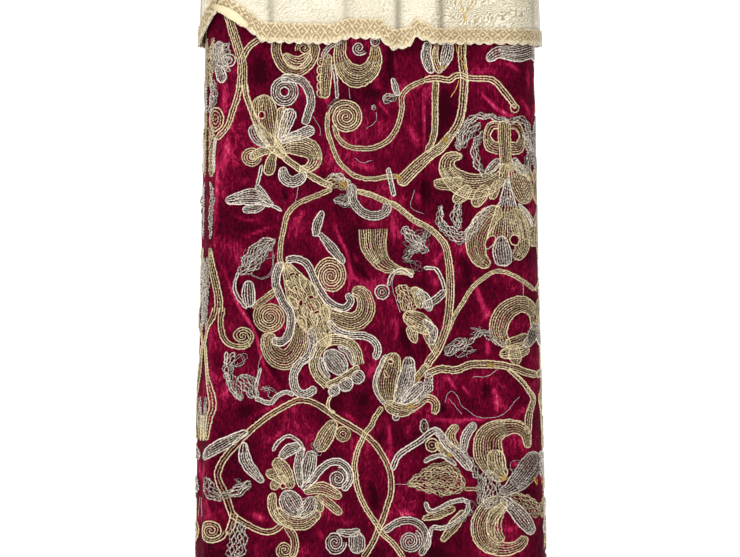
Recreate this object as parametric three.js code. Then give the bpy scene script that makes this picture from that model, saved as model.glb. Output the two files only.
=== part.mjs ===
// A velvet mantle for a scroll: a fitted cover that hangs from a stiff top with two stave holes.
// Millimetres, +Z up. The origin is the middle of the top's underside and the front faces -Y.
// Places round the cover are given as a walk along the top's rim, from the middle of the front,
// positive towards +X, and places down it as a drop below the origin.
import * as THREE from "three";

// Driving sizes
const GAP = 0.3;
const TOP_HALF_WIDTH = 160;
const TOP_HALF_DEPTH = 88;
const TOP_CORNER_RADIUS = 40;
const TOP_THICKNESS = 6;
const STAVE_HOLE_DIAMETER = 46;
const STAVE_SPACING = 176;
const STAVE_HOLE_SIDES = 40;

const VELVET_THICKNESS = 2;
const SKIRT_RISE = 4;
const SKIRT_DROP = 880;
const SKIRT_FLARE = 12;
const SKIRT_FLARE_POWER = 1.3;
const SEAM_AT = 54;
const SEAM_GAP = 0.6;
const RIDGE_AT = -150;

const CAPE_THICKNESS = 1.2;
const CAPE_LIP_REACH = 14;
const CAPE_LIP_HEIGHT = 8;
const CAPE_BEND_EASE = 0.2;
const CAPE_STAND_OFF = 6;
const CAPE_PLEAT_START = 40;
const CAPE_PLEAT_FALL = 7;
const SLIT_AT = -148;
const SLIT_WIDTH = 1.5;

const GALLOON_THICKNESS = 1;
const GALLOON_GAP = 0.5;
const GALLOON_ABOVE_HEM = 17;
const GALLOON_BELOW_HEM = 3;

const STRAIGHT_STEP = 20;
const ARC_STEPS = 8;
const CLOSEST_COLUMNS = 1.2;
const SKIRT_ROWS = 13;
const CAPE_FALL_ROWS = 6;

// The rim: four straights and four quarter arcs
const FRONT_HALF = TOP_HALF_WIDTH - TOP_CORNER_RADIUS;
const SIDE_HALF = TOP_HALF_DEPTH - TOP_CORNER_RADIUS;
const QUARTER_ARC = (Math.PI / 2) * TOP_CORNER_RADIUS;
const PERIMETER = 4 * FRONT_HALF + 4 * SIDE_HALF + 4 * QUARTER_ARC;

// Long soft folds of the skirt: where a fold stands at the hem, its half width, how far it
// stands out at the hem, the drop where it begins and how far it wanders sideways on the way down.
const SKIRT_FOLDS = [
  { at: -418, width: 30, out: 6, from: 180, wander: 8 },
  { at: -362, width: 24, out: -4, from: 240, wander: -6 },
  { at: -305, width: 32, out: 8, from: 120, wander: 10 },
  { at: -238, width: 26, out: -5, from: 200, wander: -4 },
  { at: -196, width: 24, out: 4, from: 260, wander: 5 },
  { at: RIDGE_AT, width: 15, out: 6, from: 30, wander: 3 },
  { at: -96, width: 34, out: -2, from: 300, wander: -8 },
  { at: 20, width: 46, out: 2, from: 380, wander: 12 },
  { at: 104, width: 30, out: -2, from: 330, wander: 6 },
  { at: 172, width: 26, out: 4, from: 230, wander: -5 },
  { at: 226, width: 22, out: -5, from: 160, wander: 4 },
  { at: 276, width: 30, out: 8, from: 140, wander: -9 },
  { at: 338, width: 24, out: -4, from: 260, wander: 7 },
  { at: 396, width: 34, out: 7, from: 170, wander: -6 },
  { at: 456, width: 26, out: -5, from: 210, wander: 5 },
];

// The skirt's hem hangs a little unevenly: this many waves round the rim, this high.
const HEM_WAVES = [
  { waves: 3, high: 2.2, turn: 0.6 },
  { waves: 7, high: 1.1, turn: 2.1 },
];

// The cape's lower edge: how far it drops at each place along the rim, straight in between.
// It rises to the slit from both sides.
const SLIT_DROP = 216;
const CAPE_HEM = [
  { at: SLIT_AT, drop: SLIT_DROP },
  { at: -125, drop: 233 },
  { at: -108, drop: 248 },
  { at: -40, drop: 250 },
  { at: -20, drop: 244 },
  { at: 10, drop: 245 },
  { at: 22, drop: 256 },
  { at: 40, drop: 253 },
  { at: 45, drop: 243 },
  { at: 65, drop: 250 },
  { at: 165, drop: 250 },
  { at: 330, drop: 246 },
  { at: 480, drop: 252 },
  { at: 640, drop: 247 },
  { at: SLIT_AT + PERIMETER - 34, drop: 250 },
  { at: SLIT_AT + PERIMETER - 17, drop: 236 },
  { at: SLIT_AT + PERIMETER, drop: SLIT_DROP },
];

// Knife pleats of the cape: where the edge lies, how far it stands out at the hem,
// and how far back the cloth starts to rise towards it.
const CAPE_PLEATS = [
  { at: -103, out: 2.2, run: 34 },
  { at: -28, out: 1.4, run: 26 },
  { at: 24, out: 3.0, run: 40 },
  { at: 67, out: 3.0, run: 30 },
  { at: 158, out: 2.4, run: 46 },
  { at: 246, out: 3.2, run: 38 },
  { at: 318, out: 2.4, run: 34 },
  { at: 404, out: 3.0, run: 44 },
  { at: 486, out: 2.0, run: 30 },
  { at: 571, out: 3.2, run: 40 },
  { at: 648, out: 2.6, run: 36 },
  { at: 728, out: 3.0, run: 42 },
];

// The rim's stretches in order: an arc is given by its centre, a straight by its start.
const RIM_STRETCHES = [
  { length: FRONT_HALF, x: 0, y: -TOP_HALF_DEPTH, heading: 0, turns: false },
  { length: QUARTER_ARC, x: FRONT_HALF, y: -SIDE_HALF, heading: 0, turns: true },
  { length: 2 * SIDE_HALF, x: TOP_HALF_WIDTH, y: -SIDE_HALF, heading: 1, turns: false },
  { length: QUARTER_ARC, x: FRONT_HALF, y: SIDE_HALF, heading: 1, turns: true },
  { length: 2 * FRONT_HALF, x: FRONT_HALF, y: TOP_HALF_DEPTH, heading: 2, turns: false },
  { length: QUARTER_ARC, x: -FRONT_HALF, y: SIDE_HALF, heading: 2, turns: true },
  { length: 2 * SIDE_HALF, x: -TOP_HALF_WIDTH, y: SIDE_HALF, heading: 3, turns: false },
  { length: QUARTER_ARC, x: -FRONT_HALF, y: -SIDE_HALF, heading: 3, turns: true },
  { length: FRONT_HALF, x: -FRONT_HALF, y: -TOP_HALF_DEPTH, heading: 4, turns: false },
];

// The rim's point and outward direction at a walk along it.
function rimAt(walk) {
  let left = ((walk % PERIMETER) + PERIMETER) % PERIMETER;
  let stretch = RIM_STRETCHES[0];
  for (stretch of RIM_STRETCHES) {
    if (left <= stretch.length) break;
    left -= stretch.length;
  }
  left = Math.min(left, stretch.length);
  const turned = stretch.turns ? left / TOP_CORNER_RADIUS : 0;
  const heading = (stretch.heading * Math.PI) / 2 + turned;
  const outX = Math.sin(heading);
  const outY = -Math.cos(heading);
  const along = stretch.turns ? 0 : left;
  const radius = stretch.turns ? TOP_CORNER_RADIUS : 0;
  return {
    x: stretch.x + Math.cos(heading) * along + outX * radius,
    y: stretch.y + Math.sin(heading) * along + outY * radius,
    outX,
    outY,
  };
}

// Walks of the rim's mesh columns between two places, with the two ends and any extra places.
function columnsBetween(start, end, extra = []) {
  const places = [];
  let base = 0;
  for (const stretch of RIM_STRETCHES) {
    const steps = stretch.turns ? ARC_STEPS : Math.max(2, Math.round(stretch.length / STRAIGHT_STEP));
    for (let i = 0; i < steps; i++) places.push(base + (stretch.length * i) / steps);
    base += stretch.length;
  }
  const clear = (walk) => walk > start + CLOSEST_COLUMNS && walk < end - CLOSEST_COLUMNS;
  const kept = [start, ...extra.filter(clear), end];
  for (const turn of [-PERIMETER, 0, PERIMETER]) {
    for (const place of places) {
      const walk = place + turn;
      const inside = walk > start && walk < end;
      if (inside && kept.every((other) => Math.abs(other - walk) > CLOSEST_COLUMNS)) kept.push(walk);
    }
  }
  return kept.sort((a, b) => a - b);
}

const smooth = (t) => t * t * (3 - 2 * t);
const clamp01 = (t) => Math.min(1, Math.max(0, t));

// A height read from a table of places, straight between its rows.
function dropAt(table, walk) {
  const next = table.findIndex((row) => row.at >= walk);
  if (next <= 0) return table[next < 0 ? table.length - 1 : 0].drop;
  const before = table[next - 1];
  const after = table[next];
  return before.drop + ((after.drop - before.drop) * (walk - before.at)) / (after.at - before.at);
}

// A point that stands out from the rim, at a height.
function standingOut(walk, out, z) {
  const rim = rimAt(walk);
  return new THREE.Vector3(rim.x + rim.outX * out, rim.y + rim.outY * out, z);
}

// How far the velvet's face stands out from the rim: a slight flare and the sum of the folds.
function skirtOut(walk, drop) {
  const fallen = clamp01(drop / SKIRT_DROP);
  let out = GAP + VELVET_THICKNESS + SKIRT_FLARE * fallen ** SKIRT_FLARE_POWER;
  for (const fold of SKIRT_FOLDS) {
    const grown = clamp01((drop - fold.from) / (SKIRT_DROP - fold.from));
    const centre = fold.at - fold.wander * (1 - grown);
    for (const turn of [-PERIMETER, 0, PERIMETER]) {
      const away = (walk - centre + turn) / fold.width;
      out += fold.out * smooth(grown) * Math.exp(-away * away);
    }
  }
  return out;
}

function skirtHem(walk) {
  const angle = (2 * Math.PI * walk) / PERIMETER;
  let hem = SKIRT_DROP;
  for (const wave of HEM_WAVES) hem += wave.high * Math.sin(wave.waves * angle + wave.turn);
  return hem;
}

function skirtPoint(walk, share) {
  const drop = -SKIRT_RISE + (skirtHem(walk) + SKIRT_RISE) * share;
  return standingOut(walk, skirtOut(walk, drop), -drop);
}

// The cape's face below the bend: it stands away from the velvet towards its hem, in knife pleats.
const CAPE_BEND_OUT = 2 * GAP + VELVET_THICKNESS + CAPE_THICKNESS + CAPE_BEND_EASE;
function capeOut(walk, drop) {
  const hem = dropAt(CAPE_HEM, walk);
  const fallen = clamp01(drop / hem);
  const opened = smooth(clamp01((drop - CAPE_PLEAT_START) / (hem - CAPE_PLEAT_START)));
  let out = CAPE_BEND_OUT + CAPE_STAND_OFF * fallen;
  for (const pleat of CAPE_PLEATS) {
    const past = walk - pleat.at;
    const rising = past <= 0 ? smooth(clamp01(1 + past / pleat.run)) : clamp01(1 - past / CAPE_PLEAT_FALL);
    out += pleat.out * opened * rising;
  }
  return out;
}

// The cape from its sewn-down lip on the top, over the rim's bend and down to the hem.
const CAPE_LIP = [
  { out: -CAPE_LIP_REACH, z: CAPE_LIP_HEIGHT },
  { out: -0.5 * CAPE_BEND_OUT, z: CAPE_LIP_HEIGHT },
  { out: 0.6 * CAPE_BEND_OUT, z: CAPE_LIP_HEIGHT - 0.9 },
  { out: 0.98 * CAPE_BEND_OUT, z: CAPE_LIP_HEIGHT - 3.4 },
];
function capePoint(walk, row) {
  if (row < CAPE_LIP.length) return standingOut(walk, CAPE_LIP[row].out, CAPE_LIP[row].z);
  const share = (row - CAPE_LIP.length) / (CAPE_FALL_ROWS - 1);
  const drop = dropAt(CAPE_HEM, walk) * share;
  return standingOut(walk, capeOut(walk, drop), -drop);
}

function galloonPoint(walk, share) {
  const hem = dropAt(CAPE_HEM, walk);
  const drop = hem - GALLOON_ABOVE_HEM + (GALLOON_ABOVE_HEM + GALLOON_BELOW_HEM) * share;
  return standingOut(walk, capeOut(walk, drop) + GALLOON_GAP + GALLOON_THICKNESS, -drop);
}

// A closed sheet: a face on a grid of columns and rows, its back one thickness behind, and four edges.
function sheetGeometry(columns, rows, thickness, pointAt) {
  const face = columns.map((walk) => rows.map((row) => pointAt(walk, row)));
  const last = { column: columns.length - 1, row: rows.length - 1 };
  const back = face.map((strip, i) =>
    strip.map((point, j) => {
      const right = face[Math.min(i + 1, last.column)][j];
      const left = face[Math.max(i - 1, 0)][j];
      const below = strip[Math.min(j + 1, last.row)];
      const above = strip[Math.max(j - 1, 0)];
      const across = new THREE.Vector3().subVectors(right, left);
      const down = new THREE.Vector3().subVectors(below, above);
      const outward = down.cross(across).normalize();
      return point.clone().addScaledVector(outward, -thickness);
    }),
  );
  const count = rows.length;
  const front = (i, j) => i * count + j;
  const rear = (i, j) => columns.length * count + front(i, j);
  const triangles = [];
  const quad = (a, b, c, d) => triangles.push(a, b, c, a, c, d);
  for (let i = 0; i < last.column; i++) {
    for (let j = 0; j < last.row; j++) {
      quad(front(i, j), front(i, j + 1), front(i + 1, j + 1), front(i + 1, j));
      quad(rear(i, j), rear(i + 1, j), rear(i + 1, j + 1), rear(i, j + 1));
    }
    quad(front(i, 0), front(i + 1, 0), rear(i + 1, 0), rear(i, 0));
    quad(front(i + 1, last.row), front(i, last.row), rear(i, last.row), rear(i + 1, last.row));
  }
  for (let j = 0; j < last.row; j++) {
    quad(front(0, j + 1), front(0, j), rear(0, j), rear(0, j + 1));
    const i = last.column;
    quad(front(i, j), front(i, j + 1), rear(i, j + 1), rear(i, j));
  }
  const positions = [...face.flat(), ...back.flat()].flatMap((point) => point.toArray());
  const geometry = new THREE.BufferGeometry();
  geometry.setAttribute("position", new THREE.Float32BufferAttribute(positions, 3));
  geometry.setIndex(triangles);
  geometry.computeVertexNormals();
  return geometry;
}

const range = (count) => Array.from({ length: count }, (_, i) => i);

function skirtPanel(name, start, end) {
  const columns = columnsBetween(start + SEAM_GAP / 2, end - SEAM_GAP / 2, [RIDGE_AT]);
  const rows = range(SKIRT_ROWS).map((row) => row / (SKIRT_ROWS - 1));
  const geometry = sheetGeometry(columns, rows, VELVET_THICKNESS, skirtPoint);
  const velvet = new THREE.MeshStandardMaterial({ color: 0x6e0a24, roughness: 0.85, metalness: 0 });
  const mesh = new THREE.Mesh(geometry, velvet);
  mesh.name = name;
  return mesh;
}

function capeColumns() {
  const pleatEdges = CAPE_PLEATS.flatMap((pleat) => [pleat.at, pleat.at + CAPE_PLEAT_FALL]);
  const hemCorners = CAPE_HEM.slice(1, -1).map((row) => row.at);
  const start = SLIT_AT + SLIT_WIDTH / 2;
  const end = SLIT_AT + PERIMETER - SLIT_WIDTH / 2;
  return columnsBetween(start, end, [...pleatEdges, ...hemCorners]);
}

function cape() {
  const rows = range(CAPE_LIP.length + CAPE_FALL_ROWS);
  const geometry = sheetGeometry(capeColumns(), rows, CAPE_THICKNESS, capePoint);
  const brocade = new THREE.MeshStandardMaterial({ color: 0xe4dcc4, roughness: 0.6, metalness: 0 });
  const mesh = new THREE.Mesh(geometry, brocade);
  mesh.name = "cape";
  return mesh;
}

function capeGalloon() {
  const geometry = sheetGeometry(capeColumns(), [0, 1], GALLOON_THICKNESS, galloonPoint);
  const metalBraid = new THREE.MeshStandardMaterial({ color: 0xc9b07c, roughness: 0.45, metalness: 0.5 });
  const mesh = new THREE.Mesh(geometry, metalBraid);
  mesh.name = "cape_galloon";
  return mesh;
}

function stiffTop() {
  const corners = columnsBetween(0, PERIMETER).slice(0, -1).map(rimAt);
  const outline = new THREE.Shape(corners.map((rim) => new THREE.Vector2(rim.x, rim.y)));
  for (const side of [-1, 1]) {
    const hole = range(STAVE_HOLE_SIDES).map((i) => {
      const angle = (-2 * Math.PI * i) / STAVE_HOLE_SIDES;
      const x = (side * STAVE_SPACING) / 2 + (STAVE_HOLE_DIAMETER / 2) * Math.cos(angle);
      return new THREE.Vector2(x, (STAVE_HOLE_DIAMETER / 2) * Math.sin(angle));
    });
    outline.holes.push(new THREE.Path(hole));
  }
  const geometry = new THREE.ExtrudeGeometry(outline, { depth: TOP_THICKNESS, bevelEnabled: false });
  const covered = new THREE.MeshStandardMaterial({ color: 0xe0d6ba, roughness: 0.6, metalness: 0 });
  const mesh = new THREE.Mesh(geometry, covered);
  mesh.name = "top";
  return mesh;
}

const mantle = new THREE.Group();
mantle.add(stiffTop());
mantle.add(skirtPanel("skirt_left", SEAM_AT - PERIMETER / 2, SEAM_AT));
mantle.add(skirtPanel("skirt_right", SEAM_AT, SEAM_AT + PERIMETER / 2));
mantle.add(cape());
mantle.add(capeGalloon());

export default mantle;
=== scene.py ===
# %% [markdown]
# # A velvet mantle with couched metal-thread embroidery
# The mantle is a fitted cover that hangs from a stiff top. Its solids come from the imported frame, and
# this lesson gives each of them its finish: crimson velvet, raised metal-thread work, a brocade cape
# and a woven braid. Everything sits in the frame's own axes, so nothing has to be fitted afterwards.

# %% The frame
import math

import bpy
import numpy as np
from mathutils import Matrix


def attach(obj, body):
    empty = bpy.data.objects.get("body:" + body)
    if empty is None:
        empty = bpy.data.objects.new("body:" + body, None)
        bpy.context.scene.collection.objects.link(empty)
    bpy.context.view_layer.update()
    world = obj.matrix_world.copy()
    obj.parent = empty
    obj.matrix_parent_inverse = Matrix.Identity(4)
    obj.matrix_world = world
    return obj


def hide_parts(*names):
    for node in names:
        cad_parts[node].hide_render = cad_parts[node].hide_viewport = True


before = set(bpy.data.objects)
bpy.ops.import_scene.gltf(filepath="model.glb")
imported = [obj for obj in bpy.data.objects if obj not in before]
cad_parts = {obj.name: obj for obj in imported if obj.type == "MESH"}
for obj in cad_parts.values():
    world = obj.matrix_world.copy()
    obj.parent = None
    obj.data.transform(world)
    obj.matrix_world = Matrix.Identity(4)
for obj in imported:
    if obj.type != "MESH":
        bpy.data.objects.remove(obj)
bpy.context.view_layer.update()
print("frame nodes:", sorted(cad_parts))

# %% [markdown]
# ## Finding a place on the cloth
# The cover is cut to a rim of straights and quarter arcs. A place on it is a walk along that rim from
# the middle of the front and a drop below the top's underside. One could measure the imported solids,
# but a formula gives every point at any fineness, so the same rim is written here as whole arrays.

# %% The rim
MM = 0.001
TOP_HALF_WIDTH = 160.0
TOP_HALF_DEPTH = 88.0
TOP_CORNER_RADIUS = 40.0
FRONT_HALF = TOP_HALF_WIDTH - TOP_CORNER_RADIUS
SIDE_HALF = TOP_HALF_DEPTH - TOP_CORNER_RADIUS
QUARTER_ARC = math.pi / 2 * TOP_CORNER_RADIUS
PERIMETER = 4 * FRONT_HALF + 4 * SIDE_HALF + 4 * QUARTER_ARC

# length, start x, start y (an arc's centre instead), heading in quarter turns, whether it turns
RIM_STRETCHES = np.array([
    (FRONT_HALF, 0, -TOP_HALF_DEPTH, 0, 0),
    (QUARTER_ARC, FRONT_HALF, -SIDE_HALF, 0, 1),
    (2 * SIDE_HALF, TOP_HALF_WIDTH, -SIDE_HALF, 1, 0),
    (QUARTER_ARC, FRONT_HALF, SIDE_HALF, 1, 1),
    (2 * FRONT_HALF, FRONT_HALF, TOP_HALF_DEPTH, 2, 0),
    (QUARTER_ARC, -FRONT_HALF, SIDE_HALF, 2, 1),
    (2 * SIDE_HALF, -TOP_HALF_WIDTH, SIDE_HALF, 3, 0),
    (QUARTER_ARC, -FRONT_HALF, -SIDE_HALF, 3, 1),
    (FRONT_HALF, -FRONT_HALF, -TOP_HALF_DEPTH, 4, 0),
])


def rim_at(walk):
    """The rim's point and outward direction: along a straight, or round an arc by walk / radius."""
    length, x, y, heading, turns = RIM_STRETCHES.T
    starts = np.concatenate([[0], np.cumsum(length)])
    walk = np.mod(walk, PERIMETER)
    row = np.clip(np.searchsorted(starts, walk, side="right") - 1, 0, len(length) - 1)
    left = walk - starts[row]
    angle = heading[row] * math.pi / 2 + turns[row] * left / TOP_CORNER_RADIUS
    out = np.stack([np.sin(angle), -np.cos(angle)], -1)
    along = np.stack([np.cos(angle), np.sin(angle)], -1) * ((1 - turns[row]) * left)[..., None]
    centre = np.stack([x[row], y[row]], -1)
    return centre + along + out * (turns[row] * TOP_CORNER_RADIUS)[..., None], out


def standing_out(walk, out, drop):
    """A point of the cloth: the rim's point moved outwards, at minus the drop."""
    point, outward = rim_at(walk)
    return np.concatenate([point + outward * out[..., None], -drop[..., None]], -1)


def smooth(t):
    """0 below 0, 1 above 1 and an even S between."""
    t = np.clip(t, 0, 1)
    return t * t * (3 - 2 * t)


def wrapped(walk):
    """A walk brought to within half the rim of the front's middle."""
    return (walk + PERIMETER / 2) % PERIMETER - PERIMETER / 2


print(f"rim {PERIMETER:.0f} mm round")

# %% [markdown]
# ## How the velvet hangs
# Two loom widths of silk velvet are seamed into a tube. It flares a little and falls in long soft folds,
# and years of use have pressed creases into the pile. A cloth simulation would be slow and hard to steer,
# so each fold is a bell-shaped swelling that grows towards the hem, placed one by one.

# %% Folds of the velvet
VELVET_THICKNESS = 2.0
SKIRT_RISE = 4.0
SKIRT_DROP = 880.0
SKIRT_FLARE = 12.0
SKIRT_FLARE_POWER = 1.3
SKIRT_START = 2.3
SEAM_AT = 54.0
SEAM_GAP = 0.6
# how far it stands out or draws in, half width
SEAM_LIP, SEAM_LIP_HALF = 0.9, 4.0
SEAM_GROOVE, SEAM_GROOVE_HALF = 1.6, 2.6
SEAM_LIP_LEFT = 5.0

# place at the hem, half width, how far it stands out, the drop where it begins, sideways wander
SKIRT_FOLDS = [
    (-418, 30, 6, 180, 8), (-362, 24, -4, 240, -6), (-305, 32, 8, 120, 10), (-238, 26, -5, 200, -4),
    (-196, 24, 4, 260, 5), (-150, 15, 6, 30, 3), (-96, 34, -2, 300, -8), (20, 46, 2, 380, 12),
    (104, 30, -2, 330, 6), (172, 26, 4, 230, -5), (226, 22, -5, 160, 4), (276, 30, 8, 140, -9),
    (338, 24, -4, 260, 7), (396, 34, 7, 170, -6), (456, 26, -5, 210, 5),
]
HEM_WAVES = [(3, 2.2, 0.6), (7, 1.1, 2.1)]


def skirt_out(walk, drop):
    """How far the velvet's face stands out: a flare, plus for each fold a bell that grows downwards."""
    fallen = np.clip(drop / SKIRT_DROP, 0, 1)
    out = SKIRT_START + SKIRT_FLARE * fallen**SKIRT_FLARE_POWER
    for at, width, stands, begins, wander in SKIRT_FOLDS:
        grown = np.clip((drop - begins) / (SKIRT_DROP - begins), 0, 1)
        away = wrapped(walk - (at - wander * (1 - grown)))
        out = out + stands * smooth(grown) * np.exp(-((away / width) ** 2))
    return out


def skirt_hem(walk):
    """The hem's drop: the velvet's length with two slow waves round the rim."""
    angle = 2 * math.pi * walk / PERIMETER
    return SKIRT_DROP + sum(high * np.sin(waves * angle + turn) for waves, high, turn in HEM_WAVES)


def seam_out(walk):
    """The seams draw the cloth in along a narrow groove, and the left-hand width stands a little higher."""
    away = np.stack([wrapped(walk - SEAM_AT), wrapped(walk - SEAM_AT + PERIMETER / 2)])
    lip = SEAM_LIP * np.exp(-(((away + SEAM_LIP_LEFT) / SEAM_LIP_HALF) ** 2))
    groove = SEAM_GROOVE * np.exp(-((away / SEAM_GROOVE_HALF) ** 2))
    return (lip - groove).sum(0)


print(len(SKIRT_FOLDS), "folds")

# %% [markdown]
# ## Creases
# Creases are drawn on a working chart: millimetres across and down the front. Each is a soft ridge or
# trough along a curve through two to eight points, and the pile lies over there, so it also shines or
# darkens, as painted highlight and painted shade in the velvet's colour. Round the sides and the back the
# chart is turned over, like the ornament later on.

# %% Creases of the velvet
CHART_MIDDLE = 370.0
CHART_TOP = -208.0
CHART_HALF = 166.0
CHART_BOTTOM = 558.0
CREASE_STEP = 1.2
CREASE_REACH = 2.4
CREASE_END = 0.06
BACK_FADE = 24.0
SEAM_FADE = 60.0

# half width, how far it stands out, its painted shine (painted shade where below nought), the points it
# runs through
CREASES = [
    (3.2, 3.0, 1.0, [(222, 130), (221, 185), (219, 255)]),
    (4.5, 2.4, 0.5, [(215, 262), (218, 400), (214, 556)]),
    (2.6, 1.8, 1.2, [(222, 257), (229, 272), (238, 298), (246, 316), (256, 334), (262, 360), (270, 374),
                     (282, 392)]),
    (4.0, -1.2, -0.6, [(232, 262), (250, 312), (270, 362), (290, 396)]),
    (3.5, -2.2, -1.0, [(391, 44), (390, 80)]), (4.0, 0.8, 0.7, [(219, 76), (217, 98)]),
    (4.0, 1.0, 0.8, [(227, 80), (227, 118)]), (5.0, 1.0, 0.9, [(231, 132), (227, 176)]),
    (3.0, 0.7, 0.6, [(231, 214), (244, 219), (270, 223)]),
    (3.0, 0.7, 0.8, [(241, 238), (260, 231), (278, 225)]), (3.0, 0.8, 0.7, [(240, 182), (250, 180)]),
    (2.6, 1.0, 0.8, [(376, 98), (385, 110), (393, 119)]), (7.0, 0.6, 0.5, [(379, 74), (374, 97)]),
    (2.6, 1.5, 1.1, [(476, 88), (487, 99), (498, 110), (511, 116)]),
    (4.0, 1.2, 0.8, [(518, 97), (528, 108), (533, 119)]),
    (3.0, 0.9, 0.8, [(498, 60), (513, 67), (521, 74)]), (4.0, 0.6, 0.5, [(469, 71), (498, 70)]),
    (6.0, 0.8, 0.7, [(531, 64), (530, 96)]), (1.6, 0.5, 1.2, [(424, 84), (424, 162)]),
    (2.8, 1.1, 1.0, [(331, 207), (336, 229), (341, 241), (348, 256), (351, 290)]),
    (6.0, 0.7, 0.6, [(362, 222), (384, 226)]), (3.2, 0.9, 0.8, [(392, 214), (394, 248)]),
    (7.0, 0.7, 0.6, [(350, 161), (380, 172)]), (4.0, 0.8, 0.8, [(418, 190), (418, 205)]),
    (2.4, 0.8, 0.8, [(354, 252), (358, 266)]), (2.6, 0.9, 0.9, [(349, 264), (356, 279), (369, 282)]),
    (4.0, 0.8, 0.7, [(395, 314), (397, 331), (392, 346)]), (2.8, 0.8, 0.9, [(433, 268), (441, 253)]),
    (5.0, 0.9, 0.8, [(470, 268), (480, 298), (490, 322)]), (3.0, 0.7, 0.9, [(491, 308), (483, 321)]),
    (3.2, 0.8, 1.0, [(487, 336), (488, 358)]), (6.0, 0.6, 0.7, [(437, 276), (434, 290)]),
    (2.6, 0.8, 0.9, [(268, 443), (287, 428)]), (2.6, 0.6, 0.7, [(252, 415), (286, 402)]),
    (6.0, 0.7, 0.6, [(377, 360), (366, 382)]), (4.0, 0.6, 0.6, [(342, 411), (360, 425)]),
    (4.0, 1.0, 0.9, [(385, 416), (389, 429), (391, 458)]), (5.0, 0.6, 0.6, [(409, 424), (407, 440)]),
    (2.6, 0.7, 0.9, [(446, 374), (457, 392)]), (2.4, 0.7, 0.9, [(460, 382), (470, 397)]),
    (3.4, 0.8, 0.7, [(491, 382), (496, 399), (494, 413)]), (3.0, 0.7, 0.7, [(509, 418), (528, 402)]),
    (3.4, 0.7, 1.0, [(424, 417), (454, 421), (475, 419), (500, 420)]),
    (5.0, 0.8, 0.8, [(212, 460), (207, 482)]), (6.0, 0.7, 0.8, [(248, 512), (270, 521)]),
    (5.0, 0.6, 0.6, [(338, 519), (353, 525)]), (5.0, 0.6, 0.7, [(319, 530), (323, 541)]),
    (3.4, 0.6, 0.5, [(394, 513), (419, 515)]), (5.0, 0.7, 0.8, [(508, 460), (514, 470)]),
    (4.0, 0.5, 0.7, [(501, 531), (510, 527)]), (5.0, 0.7, 0.8, [(322, 84), (330, 108)]),
    (4.0, 0.8, 0.8, [(318, 150), (316, 180)]), (6.0, 0.8, 0.6, [(404, 120), (420, 148)]),
    (8.0, -0.6, -0.6, [(258, 54), (262, 88)]), (9.0, -0.5, -0.5, [(362, 94), (382, 92)]),
    (9.0, -0.5, -0.5, [(446, 86), (444, 128)]), (7.0, -0.6, -0.6, [(279, 190), (290, 199)]),
    (7.0, -0.6, -0.7, [(425, 178), (427, 202)]), (3.0, -0.8, -0.7, [(353, 260), (374, 286)]),
    (8.0, -0.5, -0.5, [(402, 326), (408, 350)]), (9.0, -0.5, -0.5, [(462, 250), (470, 288)]),
    (9.0, -0.6, -0.6, [(240, 408), (254, 416)]), (10.0, -0.5, -0.5, [(358, 394), (366, 408)]),
    (6.0, -0.6, -0.6, [(379, 430), (380, 442)]), (7.0, -0.7, -0.7, [(485, 378), (487, 402)]),
    (7.0, -0.5, -0.6, [(440, 404), (446, 414)]), (6.0, -0.6, -0.6, [(372, 478), (376, 512)]),
    (10.0, -0.5, -0.7, [(424, 550), (446, 554)]),
]


def smooth_path(through, samples=14):
    """A curve through given points: between two points a cubic whose slopes follow the neighbours."""
    points = np.array(through, float)
    longer = np.concatenate([[2 * points[0] - points[1]], points, [2 * points[-1] - points[-2]]])
    t = np.linspace(0, 1, samples, endpoint=False)[None, :, None]
    a, b, c, d = (longer[k:len(longer) - 3 + k, None, :] for k in range(4))
    bend, twist = 2 * a - 5 * b + 4 * c - d, 3 * b - a - 3 * c + d
    curve = 0.5 * (2 * b + (c - a) * t + bend * t**2 + twist * t**3)
    return np.concatenate([curve.reshape(-1, 2), points[-1:]])


def even_steps(path, step):
    """The path's points about one step apart, and how far along each of them is."""
    length = np.concatenate([[0], np.cumsum(np.linalg.norm(np.diff(path, axis=0), axis=1))])
    at = np.linspace(0, length[-1], max(2, round(length[-1] / step)) + 1)
    return np.stack([np.interp(at, length, path[:, k]) for k in (0, 1)], 1), at


def creased(walk, drop):
    """The creases' lift and painted shine: a bell across each curve, fading at its ends; the shine is
    narrower.
    """
    walk = wrapped(walk)
    across = CHART_HALF - np.abs((walk + CHART_HALF) % (4 * CHART_HALF) - 2 * CHART_HALF)
    x = CHART_MIDDLE + across
    y = CHART_BOTTOM - np.abs(CHART_BOTTOM - (drop + CHART_TOP))
    out, shine = np.zeros(np.shape(walk)), np.zeros(np.shape(walk))
    for width, stands, bright, through in CREASES:
        line = even_steps(smooth_path(through), CREASE_STEP)[0]
        low, high = line.min(0) - CREASE_REACH * width, line.max(0) + CREASE_REACH * width
        near = (x > low[0]) & (x < high[0]) & (y > low[1]) & (y < high[1])
        gap = np.linalg.norm(np.stack([x[near], y[near]], -1)[:, None] - line, axis=-1)
        share = gap.argmin(1) / (len(line) - 1)
        ends = np.sqrt(np.sin(math.pi * (CREASE_END + (1 - 2 * CREASE_END) * share)))
        bell = np.exp(-((gap.min(1) / width) ** 2)) * ends
        out[near] += stands * bell
        shine[near] += bright * bell**3
    faded = smooth((PERIMETER / 2 - np.abs(walk)) / BACK_FADE)
    return out * faded, shine * faded


def velvet_point(walk, drop):
    """The velvet's face: its folds, its creases and the draw of its seams, on the rim."""
    out = skirt_out(walk, drop) + creased(walk, drop)[0] + seam_out(walk) * smooth(drop / SEAM_FADE)
    return standing_out(walk, out, drop)


print(len(CREASES), "creases")

# %% [markdown]
# ## Turning arrays into meshes
# A sheet of cloth is a face on a grid, a back one thickness behind it and four edges. Solidify could give
# the thickness, but building both sides from one grid keeps the edges square and the maps in our hands.
# Every piece keeps a flat map in metres, so that a weave or a nap follows the cloth and not the room.

# %% Mesh helpers
SHARP_DEGREES = 55


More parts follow.
